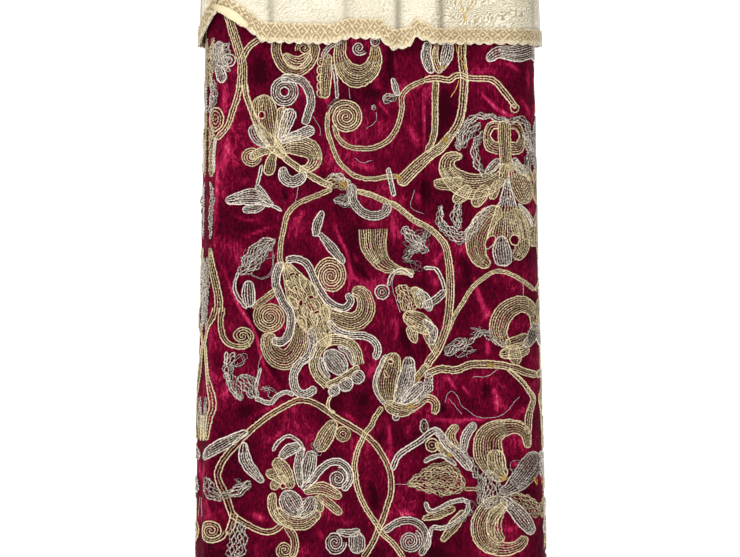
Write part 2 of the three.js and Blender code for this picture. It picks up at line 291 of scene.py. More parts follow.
def mesh_object(name, points, faces, maps, tone=None):
    """Puts arrays into a new mesh: points in millimetres, arrays of faces, maps of one pair per corner."""
    mesh = bpy.data.meshes.new(name)
    mesh.vertices.add(len(points))
    mesh.vertices.foreach_set("co", (np.asarray(points) * MM).astype(np.float32).ravel())
    corners = np.concatenate([each.ravel() for each in faces])
    sizes = np.concatenate([np.full(len(each), each.shape[1]) for each in faces])
    mesh.loops.add(len(corners))
    mesh.loops.foreach_set("vertex_index", corners.astype(np.int32))
    mesh.polygons.add(len(sizes))
    mesh.polygons.foreach_set("loop_start", (np.cumsum(sizes) - sizes).astype(np.int32))
    for map_name, places in maps.items():
        layer = mesh.uv_layers.new(name=map_name)
        layer.uv.foreach_set("vector", np.asarray(places, np.float32).ravel())
    if tone is not None:
        layer = mesh.attributes.new("tone", "FLOAT", "POINT")
        layer.data.foreach_set("value", np.asarray(tone, np.float32).ravel())
    mesh.update(calc_edges=True)
    mesh.shade_smooth()
    piece = bpy.data.objects.new(name, mesh)
    bpy.context.scene.collection.objects.link(piece)
    return piece


def outward_of(points):
    """The outward direction of a grid of points, from the differences down and along it."""
    normal = np.cross(np.gradient(points, axis=1), np.gradient(points, axis=0))
    return normal / np.linalg.norm(normal, axis=-1, keepdims=True)


def grid_quads(columns, rows, first, flip):
    """The four corners of every cell of a grid, numbered down each column from the first point."""
    i, j = np.meshgrid(np.arange(columns - 1), np.arange(rows - 1), indexing="ij")
    a = (i * rows + j + first).ravel()
    around = np.stack([a, a + 1, a + rows + 1, a + rows], 1)
    return around[:, ::-1] if flip else around


def sheet_object(name, face, thickness, flat, tone=None):
    """A closed sheet: its face, a back one thickness behind along the face's normal, and four edges."""
    columns, rows = face.shape[:2]
    back = face - thickness * outward_of(face)
    points = np.concatenate([face.reshape(-1, 3), back.reshape(-1, 3)])
    number = np.arange(columns * rows).reshape(columns, rows)
    behind = columns * rows
    border = np.concatenate([number[:, -1], number[-1, -2::-1], number[-2::-1, 0], number[0, 1:]])
    rim = np.stack([border[:-1], border[:-1] + behind, border[1:] + behind, border[1:]], 1)
    sides = [grid_quads(columns, rows, 0, False), grid_quads(columns, rows, behind, True)]
    quads = np.concatenate([*sides, rim])
    corners = np.tile(flat.reshape(-1, 2), (2, 1))[quads.ravel()]
    both = None if tone is None else np.tile(tone.ravel(), 2)
    piece = mesh_object(name, points, [quads], {"cloth": corners * MM}, both)
    piece.data.set_sharp_from_angle(angle=math.radians(SHARP_DEGREES))
    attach(piece, "root")
    print(name, len(quads), "faces")
    return piece


# %% The two widths of velvet
FINE_ALONG, COARSE_ALONG = 2.3, 4.8
FINE_DOWN, COARSE_DOWN = 2.7, 5.4
FRONT_REACH = 176.0
DETAIL_FROM, DETAIL_TO = 196.0, 776.0


def spaced(*stretches):
    """Places along stretches of (start, end, step) that follow each other."""
    places = [np.linspace(start, end, round((end - start) / step) + 1) for start, end, step in stretches]
    return np.unique(np.concatenate(places))


def velvet_width(name, node, walk):
    """One width of velvet from seam to seam, with finer cells where the front's creases are."""
    down = spaced((-SKIRT_RISE, DETAIL_FROM, COARSE_DOWN), (DETAIL_FROM, DETAIL_TO, FINE_DOWN),
                  (DETAIL_TO, SKIRT_DROP, COARSE_DOWN))
    walk, down = np.meshgrid(walk, down, indexing="ij")
    drop = down + (skirt_hem(walk) - SKIRT_DROP) * smooth((down - DETAIL_TO) / (SKIRT_DROP - DETAIL_TO))
    face = velvet_point(walk, drop)
    # the creases' painted shine and shade go with the velvet as its tone
    piece = sheet_object(name, face, VELVET_THICKNESS, np.stack([walk, drop], -1), creased(walk, drop)[1])
    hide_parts(node)
    return piece


half_gap, half_round = SEAM_GAP / 2, PERIMETER / 2
velvet_left = velvet_width("skirt_left_velvet", "skirt_left", spaced(
    (SEAM_AT - half_round + half_gap, -FRONT_REACH, COARSE_ALONG),
    (-FRONT_REACH, SEAM_AT - half_gap, FINE_ALONG)))
velvet_right = velvet_width("skirt_right_velvet", "skirt_right", spaced(
    (SEAM_AT + half_gap, FRONT_REACH, FINE_ALONG),
    (FRONT_REACH, SEAM_AT + half_round - half_gap, COARSE_ALONG)))

# %% [markdown]
# ## Writing finishes as expressions
# A finish is a small node tree. Wiring it by hand hides the idea, so one class stands for a socket and
# lets + - * / add the Math nodes, and one method makes any other node from its type, settings and sockets.

# %% A small language for finishes
class Value:
    """A socket of a finish; an operator on it adds a Math node and gives that node's socket."""

    def __init__(self, finish, socket):
        self.finish = finish
        self.socket = socket

    def math(self, operation, *others):
        """A Math node of any operation on sockets and numbers."""
        return self.finish.node("ShaderNodeMath", {"operation": operation}, dict(enumerate(others)))

    def __add__(self, other):
        return self.math("ADD", self, other)

    def __radd__(self, other):
        return self.math("ADD", other, self)

    def __sub__(self, other):
        return self.math("SUBTRACT", self, other)

    def __rsub__(self, other):
        return self.math("SUBTRACT", other, self)

    def __mul__(self, other):
        return self.math("MULTIPLY", self, other)

    def __rmul__(self, other):
        return self.math("MULTIPLY", other, self)

    def __truediv__(self, other):
        return self.math("DIVIDE", self, other)

    def __rtruediv__(self, other):
        return self.math("DIVIDE", other, self)

    def __abs__(self):
        return self.math("ABSOLUTE", self)

    def fraction(self):
        """What is left past the whole number."""
        return self.math("FRACT", self)

    def sine(self):
        """The sine of the value in radians."""
        return self.math("SINE", self)

    def least(self, other):
        """The smaller of two."""
        return self.math("MINIMUM", self, other)

    def most(self, other):
        """The larger of two."""
        return self.math("MAXIMUM", self, other)

    def between(self, low, high):
        """0 below low, 1 above high, smooth between."""
        sockets = {"Value": self, "From Min": low, "From Max": high}
        return self.finish.node("ShaderNodeMapRange", {"interpolation_type": "SMOOTHSTEP"}, sockets)


class Finish:
    """A material: one Principled shader and the nodes that feed it."""

    def __init__(self, name, **constants):
        self.material = bpy.data.materials.new(name)
        self.material.use_nodes = True
        self.tree = self.material.node_tree
        self.shader = self.tree.nodes["Principled BSDF"]
        for socket, value in constants.items():
            self.shader.inputs[socket.replace("_", " ")].default_value = value

    def node(self, kind, settings, sockets, out=0):
        """Any node: its settings are set first, then its sockets get numbers, colours or links."""
        made = self.tree.nodes.new(kind)
        for key, value in settings.items():
            setattr(made, key, value)
        for key, value in sockets.items():
            if isinstance(value, Value):
                self.tree.links.new(value.socket, made.inputs[key])
            else:
                made.inputs[key].default_value = value
        return Value(self, made.outputs[out])

    def feed(self, socket, value):
        """Links a value to one of the shader's sockets."""
        self.tree.links.new(value.socket, self.shader.inputs[socket])

    def flat_map(self, name="cloth"):
        """The piece's own map, in metres of cloth or thread."""
        return self.node("ShaderNodeUVMap", {"uv_map": name}, {})

    def object_place(self):
        """Object coordinates, which are the frame's own metres."""
        return self.node("ShaderNodeTexCoord", {}, {}, out="Object")

    def tone(self):
        """The number that every point of the piece carries."""
        return self.node("ShaderNodeAttribute", {"attribute_name": "tone"}, {}, out="Fac")

    def axis(self, vector, number):
        """One axis of a vector."""
        return self.node("ShaderNodeSeparateXYZ", {}, {0: vector}, out=number)

    def scaled(self, vector, across, down, turn=0.0):
        """A map stretched across and down, and turned by a number of degrees."""
        spin = (0.0, 0.0, math.radians(turn))
        sockets = {"Vector": vector, "Scale": (across, down, 1.0), "Rotation": spin}
        return self.node("ShaderNodeMapping", {}, sockets)

    def noise(self, vector, scale, detail=3.0, roughness=0.55, out=0):
        """A noise on a map, about one half in the mean; the second output is a vector of noises."""
        sockets = {"Vector": vector, "Scale": scale, "Detail": detail, "Roughness": roughness}
        return self.node("ShaderNodeTexNoise", {}, sockets, out)

    def pushed(self, vector, scale, amount):
        """A place moved by a noise of the same map, for lines that wander."""
        drift = self.noise(vector, scale, out=1)
        offset = self.node("ShaderNodeVectorMath", {"operation": "SCALE"}, {0: drift, "Scale": amount})
        return self.node("ShaderNodeVectorMath", {"operation": "ADD"}, {0: vector, 1: offset})

    def mix(self, share, first, second):
        """A colour between two colours, each linked or three numbers."""
        first, second = (c if isinstance(c, Value) else (*c, 1.0) for c in (first, second))
        sockets = {"Factor": share, 6: first, 7: second}
        return self.node("ShaderNodeMix", {"data_type": "RGBA"}, sockets, out=2)

    def bump(self, height, distance, strength=1.0, under=None):
        """A normal tilted by the slope of a height, over another bump if one is given."""
        sockets = {"Height": height, "Distance": distance, "Strength": strength}
        if under is not None:
            sockets["Normal"] = under
        return self.node("ShaderNodeBump", {}, sockets)


# %% [markdown]
# ## The velvet's finish
# Crushed silk velvet is nearly black where the pile faces us and glows pink where it lies over; here the
# glow is painted into the colour as painted highlight and painted shade. The creases placed above already
# say where it shines. Broad patches, wandering lines where the pile was pressed and the grain of the pile
# do the rest, and lift the surface a little too; small flecks add painted glints. A touch of sheen softens
# the edges.

# %% Crimson velvet
# the pile's colours, from painted shade through crimson to painted highlight
VELVET_DARK = (0.026, 0.0001, 0.0042)
VELVET_BODY = (0.108, 0.0008, 0.0142)
VELVET_LIT = (0.345, 0.0115, 0.0590)
VELVET_HIGHLIGHT = (0.640, 0.1250, 0.2100)
SHEEN_TINT = (1.0, 0.25, 0.42, 1.0)
MEAN = 0.5
# how much painted light each part adds
REST_LIGHT = 0.27
PATCH_LIGHT, LINE_LIGHT, CREASE_LIGHT = 1.1, 0.6, 0.9
FIBRE_LIGHT, GRAIN_LIGHT, FLECK_LIGHT = 1.3, 0.6, 0.6
# the pressed lines: the level of the noise they follow, how thin and how strong they are
UPRIGHT_LEVEL, UPRIGHT_THIN, UPRIGHT_STRONG = 0.5, 24.0, 0.6
SLANTED_LEVEL, SLANTED_THIN, SLANTED_STRONG = 0.53, 28.0, 0.5
# how much of the lines shows outside the bright patches
LINES_EVERYWHERE = 0.2
PILE_ROUGH, LINES_SMOOTH = 0.78, 0.2
UPRIGHT_CRUSH, SLANTED_CRUSH = 0.6, 0.4


def velvet_finish():
    """The painted light of patches, lines, creases and pile added up, from dark through crimson to a pink
    highlight.
    """
    finish = Finish("crimson_velvet", Sheen_Weight=0.03, Sheen_Roughness=0.35, Specular_IOR_Level=0.02)
    finish.shader.inputs["Sheen Tint"].default_value = SHEEN_TINT
    cloth = finish.flat_map()
    wandering = finish.pushed(cloth, scale=22.0, amount=0.03)
    nap = finish.pushed(cloth, scale=15.0, amount=0.010)
    patches = finish.noise(cloth, scale=19.0, detail=4.0)
    upright_way = finish.scaled(wandering, across=85.0, down=19.0)
    slanted_way = finish.scaled(wandering, across=90.0, down=24.0, turn=38.0)
    fibre_way = finish.scaled(nap, across=560.0, down=170.0, turn=12.0)
    pressed = finish.noise(upright_way, scale=1.0, detail=5.0, roughness=0.62)
    slanted = finish.noise(slanted_way, scale=1.0, detail=5.0, roughness=0.6)
    grain = finish.noise(cloth, scale=620.0, detail=2.0)
    fibres = finish.noise(fibre_way, scale=1.0, detail=3.0, roughness=0.7)
    flecks = finish.noise(cloth, scale=240.0, detail=2.0).between(0.66, 0.78)
    upright_lines = 1 - (abs(pressed - UPRIGHT_LEVEL) * UPRIGHT_THIN).between(0.0, 1.0)
    slanted_lines = 1 - (abs(slanted - SLANTED_LEVEL) * SLANTED_THIN).between(0.0, 1.0)
    shown = LINES_EVERYWHERE + patches.between(0.42, 0.66) * (1 - LINES_EVERYWHERE)
    lines = (upright_lines * UPRIGHT_STRONG + slanted_lines * SLANTED_STRONG) * shown
    flecked = flecks * patches.between(0.45, 0.7) * FLECK_LIGHT
    pile = (fibres - MEAN) * FIBRE_LIGHT + (grain - MEAN) * GRAIN_LIGHT + flecked
    broad = REST_LIGHT + (patches - MEAN) * PATCH_LIGHT + lines * LINE_LIGHT
    # lit is painted light: the crushed pile's sheen, glints on the flecks, and the creases' painted shine
    # and shade
    lit = broad + finish.tone() * CREASE_LIGHT + pile
    body = finish.mix(lit.between(0.0, 0.5), VELVET_DARK, VELVET_BODY)
    shining = finish.mix(lit.between(0.42, 0.98), body, VELVET_LIT)
    finish.feed("Base Color", finish.mix(lit.between(0.95, 1.5), shining, VELVET_HIGHLIGHT))
    finish.feed("Roughness", PILE_ROUGH - lines * LINES_SMOOTH)
    crushed = pressed * UPRIGHT_CRUSH + slanted * SLANTED_CRUSH
    crush = finish.bump(crushed, distance=0.005, strength=0.4)
    finish.feed("Normal", finish.bump(grain, distance=0.0006, strength=0.4, under=crush))
    return finish.material


crimson = velvet_finish()
for width in (velvet_left, velvet_right):
    width.data.materials.append(crimson)
print("velvet finished")

# %% [markdown]
# ## Drawing with thread
# The ornament is laid threads: fine cords set side by side and caught down by tiny stitches. Each motif
# is a handful of curves on the flat chart, worked out from a few points or a formula, and each curve knows
# whether it is an outline, which stays bright, or filling, which gets painted shade in the gaps at its
# stitches.

# %% Curves on the chart
PITCH = 2.35
CORD_HALF = 1.0


def beside(line, distance):
    """Each point moved sideways along the line's own left-hand direction."""
    along = np.gradient(line, axis=0)
    along = along / np.maximum(np.linalg.norm(along, axis=1, keepdims=True), 1e-9)
    return line + np.stack([along[:, 1], -along[:, 0]], 1) * np.reshape(distance, (-1, 1))


def turned(points, centre, turn):
    """Points turned about the origin by a number of degrees and moved to a centre."""
    angle = math.radians(turn)
    spin = np.array([[math.cos(angle), math.sin(angle)], [-math.sin(angle), math.cos(angle)]])
    return np.asarray(centre, float) + points @ spin


def runs(path, kept):
    """The stretches of a path whose points are kept."""
    breaks = np.flatnonzero(np.diff(kept.astype(int))) + 1
    return [path[run] for run in np.split(np.arange(len(path)), breaks) if kept[run[0]] and len(run) > 2]


def closing(distance, reach):
    """A round end: a quarter circle's height at a distance from its tip."""
    reach = np.maximum(reach, 1.0)
    return np.sqrt(1 - (1 - np.minimum(distance / reach, 1)) ** 2)


print(f"threads {PITCH} mm apart")

# %% Motifs
LEAF_STEP = 0.9
LEAST_HALF = 0.3
CLOSEST_ROWS = 1.4
ROW_SHARE_MORE = 0.35
SCROLL_SAMPLES = 10
SCROLL_EYE = 0.4
ROUND_SAMPLES = 56
DISC_SAMPLES, DISC_EYE = 40, 2.0
OPEN_RING = 0.2
# shares of the wide and the tight turns, their paces, samples in a turn
TANGLE_WIDE, TANGLE_TIGHT = 0.6, 0.4
TANGLE_DOWN_PACE, TANGLE_TIGHT_PACES = 1.07, (2.63, 2.31)
TANGLE_SAMPLES = 30
# how far a worn row swings, lengths of its waves, where they start
FRAYED_SWING = 0.95
FRAYED_WAVES = (7, 15)
FRAYED_STARTS = (0, 6)


def leaf(through, widths, ends="round"):
    """Threads from base to tip, spread over widths at even stations; where they crowd, some stop."""
    line, along = even_steps(smooth_path(through), LEAF_STEP)
    stations = np.linspace(0, along[-1], np.size(widths))
    widths = np.interp(along, stations, np.ravel(widths))
    half = np.maximum(widths / 2 - CORD_HALF, LEAST_HALF)
    if ends in ("round", "base"):
        half = half * closing(along, half[0])
    if ends in ("round", "tip"):
        half = half * closing(along[-1] - along, half[-1])
    rows = max(2, round(2 * half.max() / PITCH + ROW_SHARE_MORE) + 1)
    roomy = 2 * half / (rows - 1) > CLOSEST_ROWS
    threads = []
    for row, share in enumerate(np.linspace(-1, 1, rows)):
        outline = row in (0, rows - 1)
        kept = roomy | (outline or row % 2 == 0)
        threads += [(part, outline) for part in runs(beside(line, half * share), kept)]
    return threads


def stem(through, width):
    """Parallel threads beside one curve."""
    return leaf(through, width)


def scroll(centre, radius, start, way=1, tall=1.0):
    """Two threads side by side wound in to a centre, so that each turn takes two pitches."""
    t = np.linspace(0, 1, int(radius * SCROLL_SAMPLES))
    angle = math.radians(start) + way * math.pi * (radius - 1) / PITCH * t
    round_it = np.stack([np.cos(angle), tall * np.sin(angle)], 1)
    reach = radius - (radius - 1) * t
    centre = np.asarray(centre, float)
    return [(centre + round_it * np.maximum(reach - inset, SCROLL_EYE)[:, None], inset == 0)
            for inset in (0.0, PITCH)]


def ellipse(centre, across, down, turn=0.0):
    """A closed outline."""
    angle = np.linspace(0, 2 * math.pi, ROUND_SAMPLES)
    return turned(np.stack([across * np.cos(angle), down * np.sin(angle)], 1), centre, turn)


def ring(centre, across, down, turn=0.0, hole=0.12):
    """Ellipses inside each other, from the outline in to the hole; a wide hole has an outline too."""
    rows = max(2, round(min(across, down) * (1 - hole) / PITCH) + 1)
    outlines = (0, rows - 1) if hole > OPEN_RING else (0,)
    return [(ellipse(centre, across * share, down * share, turn), row in outlines)
            for row, share in enumerate(np.linspace(1, hole, rows))]


def half_disc(centre, radius, start, end):
    """Parts of circles about one centre, one pitch apart."""
    angle = np.radians(np.linspace(start, end, DISC_SAMPLES))
    round_it = np.stack([np.cos(angle), np.sin(angle)], 1)
    return [(np.asarray(centre, float) + round_it * reach, reach == radius)
            for reach in np.linspace(radius, DISC_EYE, max(2, round(radius / PITCH)))]


def tangle(centre, across, down, seed, loops):
    """A thread that has sprung loose: a sum of two circling motions that never quite repeats."""
    phase = np.random.default_rng(seed).uniform(0, 2 * math.pi, 4)
    t = np.linspace(0, loops * 2 * math.pi, loops * TANGLE_SAMPLES)
    tight_x, tight_y = (pace * t for pace in TANGLE_TIGHT_PACES)
    x = TANGLE_WIDE * np.cos(t + phase[0]) + TANGLE_TIGHT * np.cos(tight_x + phase[1])
    y = TANGLE_WIDE * np.sin(TANGLE_DOWN_PACE * t + phase[2]) + TANGLE_TIGHT * np.sin(tight_y + phase[3])
    return [(np.asarray(centre, float) + np.stack([across * x, down * y], 1), False)]


def frayed(through, widths, seed):
    """A worn leaf: each row swings from side to side about its place, like a wave with its own length."""
    random = np.random.default_rng(seed)
    threads = []
    for path, _ in leaf(through, widths):
        wave = 2 * math.pi * np.arange(len(path)) / random.uniform(*FRAYED_WAVES)
        wave = wave + random.uniform(*FRAYED_STARTS)
        threads.append((beside(path, FRAYED_SWING * np.sin(wave)), False))
    return threads


def strand(through):
    """One loose thread."""
    return [(smooth_path(through), True)]


needlework = {"gold": [], "silver": [], "white": [], "yellow": []}


def couch(thread, *motifs, lift=0.0):
    """Adds motifs to the work in one thread, raised where they lie over others."""
    needlework[thread] += [(path, lift, outline) for motif in motifs for path, outline in motif]


def open_hole(centre, across, down, turn=0.0):
    """Takes away the work inside an ellipse, where the velvet shows, and outlines it in gold."""
    for name in ("gold", "silver"):
        kept = []
        for path, lift, outline in needlework[name]:
            level = turned(path - np.asarray(centre, float), (0, 0), -turn) / (across, down)
            kept += [(part, lift, outline) for part in runs(path, (level**2).sum(1) > 1)]
        needlework[name] = kept
    couch("gold", [(ellipse(centre, across, down, turn), True)])


def so_far(spray):
    """Prints how many threads are laid once a spray is done."""
    print(f"{spray}:", sum(map(len, needlework.values())), "threads")


print("threads to lay:", *needlework)

# %% [markdown]
# ## The front's ornament, spray by spray
# Scrolling stems carry big open flowers, gold and silver by turns, as such velvets usually do. Places are
# given on the chart and each shape is left to its formula, so the rows stay even the way a
# worker lays them, while worn places get loose silver ends.

# %% Upper left spray
couch("gold",
      leaf([(228, 10), (234, 30), (240, 51), (243, 64), (243, 76), (243, 88)],
            [9.5, 9.5, 9.5, 9.5, 10.5], "open"),
      leaf([(242, 60), (249, 47), (259, 39)], 7, "open"),
      leaf([(240.5, 84), (239, 96), (234, 113), (230, 126), (220, 139)], 6.5, "tip"),
      leaf([(245.5, 84), (247, 96), (254, 117), (262, 131), (273, 145), (285, 157)],
            [6.5, 6.5, 6.5, 7, 9, 13, 13, 9], "tip"),
      frayed([(212, 38), (209, 50), (208, 66), (208, 86)], [6, 9, 9, 7], 15), ring((217, 119), 9, 12),
      frayed([(210, 124), (213, 146), (212, 176)], [8, 13, 8], 16),
      leaf([(278, 38), (276, 50), (280, 62), (287, 69), (297, 72), (306, 67), (312, 59), (315, 49),
            (311, 40)], 11, "open"),
      scroll((304, 48), 9, 160), leaf([(284, 54), (292, 61), (302, 62), (310, 54)], [8, 14, 14, 10]),
      leaf([(273, 147), (267, 129), (264, 112), (264, 95)], [9, 24, 28, 20]),
      leaf([(276, 147), (281, 128), (283, 107)], [6, 13, 12]))
open_hole((261.5, 115), 3.4, 4)
couch("silver",
      leaf([(224, 62), (219, 52), (221, 41)], [8, 14, 12]), ring((230, 60), 7, 6.5),
      leaf([(219, 65), (222, 72), (225, 82)], [9, 12, 11]),
      frayed([(213, 79), (214, 95), (209, 112)], [8, 13, 8], 17), tangle((222, 58), 11, 16, 3, 7),
      stem([(219, 138), (217, 154), (218, 172)], 5), ring((284.5, 91.5), 13.5, 14.5, 0, 0.34),
      stem([(281, 79), (290, 78), (302, 81), (309, 91), (311, 103), (308, 114), (304, 124)], 9.5),
      leaf([(269, 147), (258, 138), (253, 125)], [7, 14, 14]),
      leaf([(281, 140), (286, 124), (292, 109)], [9, 14, 14]),
      leaf([(280, 141), (298, 135), (314, 129)], [8, 11, 13]), lift=0.3)
so_far("upper left")

# %% Upper middle spray
couch("gold",
      leaf([(328, 54), (326, 76), (325, 98)], [9, 13, 10]),
      *[half_disc((321.5, down), 4.4, 80, 280) for down in (62, 70, 78, 86, 93)],
      leaf([(341, 40), (340, 56), (346, 70), (357, 76), (368, 72), (375, 60), (375, 46)],
            [12, 13, 19, 25, 20, 16, 9], "open"),
      scroll((346, 117), 18, 190, 1),
      stem([(328, 112), (327, 124), (328, 133), (332, 145), (338, 160), (347, 170), (358, 177),
            (372, 179), (385, 177), (399, 176)], 5.5),
      stem([(334, 124), (337, 135), (344, 144), (355, 148), (372, 148), (386, 142), (394, 133),
            (399, 122), (402, 108), (402, 96), (410, 87), (425, 80)], 6.2))
couch("silver",
      scroll((359, 48), 8, 30), stem([(322, 57), (330, 46), (342, 40)], 6),
      stem([(333, 64), (336, 80), (337, 99)], 4.6), ring((375, 41), 4.5, 4.5),
      frayed([(384, 102), (389, 98), (396, 96)], [8, 11, 7], 13),
      leaf([(393, 78), (395, 86), (398, 96)], [5, 8, 6]), tangle((374, 107), 3, 3, 14, 2),
      stem([(388, 168), (391, 182), (394, 196)], 6), lift=0.3)
couch("white",
      strand([(349, 88), (350, 99)]), strand([(376, 112), (376, 121), (366, 129)]),
      tangle((334, 104), 7, 6, 5, 2), strand([(313, 116), (320, 128), (320, 136)]), lift=1.0)
couch("yellow",
      tangle((374, 57), 3, 3, 7, 3), tangle((398, 177), 4, 3, 8, 4), lift=1.2)
so_far("upper middle")

# %% Upper right spray
couch("gold",
      leaf([(463, 36), (462, 58), (464, 74), (464, 88), (462, 110), (458, 124), (450, 136), (441, 147),
            (430, 155), (415, 168), (399, 184)], [9, 9, 9, 9, 9, 11, 13, 14]),
      stem([(424, 80), (436, 78), (449, 80), (455, 76), (461, 75), (470, 78), (489, 79), (496, 83),
            (503, 92), (509, 100), (514, 107)], 7),
      ring((513, 108), 4.5, 4.5, hole=0.3),
      stem([(436, 80), (435, 102), (435, 124), (433, 139), (427, 152)], 7.5),
      leaf([(437, 44), (435, 58), (440, 73)], [6, 8, 9]))
couch("silver",
      leaf([(449, 41), (447, 55), (442, 70)], [11, 14, 6]),
      leaf([(428, 42), (426, 57), (432, 73)], [9, 12, 8]),
      leaf([(487, 60), (498, 52), (514, 53), (535, 48)], [9, 14, 19, 20], "base"), lift=0.3)
couch("yellow",
      strand([(456, 40), (457, 52), (463, 62), (465, 70)]), strand([(459, 80), (456, 89), (451, 97)]),
      strand([(459, 40), (461, 50), (462, 58)]), tangle((445, 140), 4, 3, 11, 4),
      tangle((443, 67), 4, 2, 12, 3), lift=1.2)
so_far("upper right")

# %% The large flower at the right
couch("gold",
      leaf([(498, 148), (491, 146), (487, 136), (491, 126), (498, 125)], [14, 13, 8, 9, 9], "open"),
      leaf([(509, 148), (517, 147), (521, 136), (516, 126), (509, 125)], [14, 13, 8, 9, 9], "open"),
      leaf([(503, 120), (503, 138), (504, 158), (505, 178)], [13, 13, 12, 16], "base"),
      leaf([(462, 156), (450, 158), (447, 168), (455, 179), (468, 186), (484, 185), (497, 177),
            (504, 164)], [7, 15, 19, 25, 27, 24, 18, 10]),
      leaf([(462, 180), (447, 184), (434, 183)], [9, 14, 10]),
      leaf([(470, 186), (462, 195), (454, 202)], [10, 15, 11]),
      leaf([(486, 185), (480, 197), (474, 206)], [10, 15, 11]),
      leaf([(496, 180), (494, 190), (491, 199)], [7, 10, 8]),
      leaf([(508, 163), (518, 180), (529, 202)], [9, 26, 27]),
      leaf([(518, 166), (527, 171), (534, 180)], [6, 12, 10]),
      leaf([(505, 205), (504, 238)], [20, 36], "open"),
      leaf([(499, 208), (484, 222), (476, 240), (479, 257), (489, 266)], [14, 22, 23, 20, 12]),
      leaf([(511, 209), (518, 228), (520, 246), (512, 259)], [14, 20, 19, 11]),
      leaf([(518, 208), (530, 224), (534, 246)], [10, 16, 14]))
open_hole((490, 242), 4, 7.5, 30)
open_hole((512, 240), 4.6, 5.5, -10)
couch("silver",
      frayed([(458, 150), (460, 134), (467, 123), (476, 117), (488, 116), (498, 119), (509, 121),
              (518, 118), (527, 124), (532, 136), (534, 150)], [6, 8, 8, 7, 6, 6, 8, 9, 7], 28),
      frayed([(463, 147), (469, 134), (480, 124)], [6, 9, 6], 21),
      frayed([(486, 176), (478, 165), (475, 147), (483, 131)], [6, 9, 8, 5], 24),
      leaf([(498, 159), (493, 166), (487, 174)], [7, 10, 7]),
      leaf([(511, 158), (516, 166), (524, 174)], [7, 10, 8]),
      frayed([(526, 174), (531, 160), (529, 143), (523, 132)], [7, 9, 9, 6], 22),
      leaf([(505, 178), (505, 192), (505, 206)], [4, 11, 19], "base"),
      frayed([(459, 204), (456, 216), (459, 229)], [8, 12, 8], 23),
      frayed([(441, 206), (440, 222), (450, 232), (460, 238), (470, 233), (480, 219), (490, 206)],
              [5, 9, 12, 13, 11, 9, 6], 29),
      stem([(516, 204), (526, 214), (534, 226)], 5),
      leaf([(500, 236), (500, 250), (502, 266)], [9, 18, 16]), lift=0.35)
couch("white",
      tangle((474, 134), 9, 12, 25, 2), tangle((528, 160), 6, 10, 26, 2), tangle((504, 256), 9, 7, 27, 3),
      lift=1.1)
so_far("large flower")

# %% Middle left spray
couch("gold",
      ring((252, 157), 9, 9, hole=0.3), leaf([(274, 149), (263, 151), (251, 157)], [8, 10, 9]),
      leaf([(274, 152), (271, 162), (268, 175)], [8, 12, 13]),
      leaf([(280, 151), (290, 146), (302, 146), (312, 151), (315, 160), (309, 168), (299, 169)],
            [8, 18, 22, 20, 15, 11, 7]),
      stem([(275, 148), (290, 162), (308, 174), (322, 182), (332, 186)], 7.5),
      stem([(332, 189), (318, 195), (297, 204), (287, 215), (284, 228), (281, 243), (280, 258),
            (284, 270)], 6.2),
      frayed([(323, 183), (336, 181), (349, 187)], [8, 16, 11], 39),
      leaf([(356, 191), (372, 195), (384, 201), (395, 205), (405, 213), (415, 221), (427, 227),
            (438, 236), (446, 248), (450, 275), (450, 300), (447, 325), (442, 340), (436, 352),
            (426, 366)], [6.5, 6.5, 6.5, 7, 8, 9, 9, 9, 9]),
      leaf([(373, 229), (374, 247), (383, 263), (398, 270), (414, 273)], [30, 27, 19, 10, 6], "tip"))
couch("silver",
      leaf([(283, 167), (284, 177), (292, 182), (301, 178), (304, 171)], [9, 12, 12, 12, 9]),
      frayed([(331, 175), (341, 178), (350, 190), (345, 202), (334, 199)], [6, 9, 9, 8, 6], 40),
      stem([(257, 186), (262, 165)], 4.2), stem([(270, 204), (282, 211)], 4.2),
      leaf([(273, 205), (253, 197), (229, 201)], [6, 19, 8]),
      leaf([(266, 203), (256, 208), (244, 210)], [7, 11, 8]),
      leaf([(270, 203), (262, 194), (256, 185)], [6, 10, 7]),
      stem([(352, 184), (353, 200), (362, 212), (374, 216), (385, 212), (388, 203)], 10),
      leaf([(323, 211), (318, 222), (315, 236)], [6, 11, 8]),
      leaf([(319, 233), (331, 247), (344, 263)], [6, 11, 8]),
      frayed([(403, 228), (414, 240), (427, 252)], [9, 13, 8], 33),
      frayed([(429, 230), (419, 244), (404, 259)], [7, 10, 6], 34),
      frayed([(274, 239), (260, 250), (252, 262), (242, 274)], [9, 19, 20, 9], 31),
      stem([(240, 272), (237, 285), (239, 295), (247, 309)], 4),
      frayed([(212, 182), (216, 198), (214, 216), (214, 238)], [4, 9, 8, 4], 18), lift=0.3)
couch("white",
      tangle((258, 254), 17, 13, 35, 4), strand([(274, 255), (272, 273), (262, 279), (251, 275)]),
      tangle((416, 242), 14, 13, 36, 4), strand([(415, 190), (411, 207), (424, 214)]),
      tangle((345, 200), 8, 8, 37, 3), strand([(355, 158), (363, 163), (372, 160)]),
      strand([(298, 186), (297, 196), (294, 204)]), lift=1.1)
couch("yellow",
      tangle((344, 185), 4, 4, 38, 4), lift=1.3)
so_far("middle left")

# %% The great flower in the middle
couch("gold",
      scroll((270, 317), 17, 215, -1), stem([(278, 289), (265, 299), (253, 308)], 8),
      leaf([(270, 333), (269, 346), (275, 356), (286, 360), (295, 352), (300, 338), (299, 320)],
            [17, 18, 21, 21, 19, 17, 9]),
      scroll((331, 276), 17, 190, 1, 1.14),
      leaf([(352, 292), (361, 293), (366, 304), (363, 316), (352, 322), (338, 318), (321, 310)],
            [11, 17, 20, 20, 19, 17, 9]),
      leaf([(285, 263), (298, 288), (313, 316), (329, 346)], [9, 31, 35, 9]))
body_axis = np.array((0.47, 0.88))
body_side = np.array((0.88, -0.47))
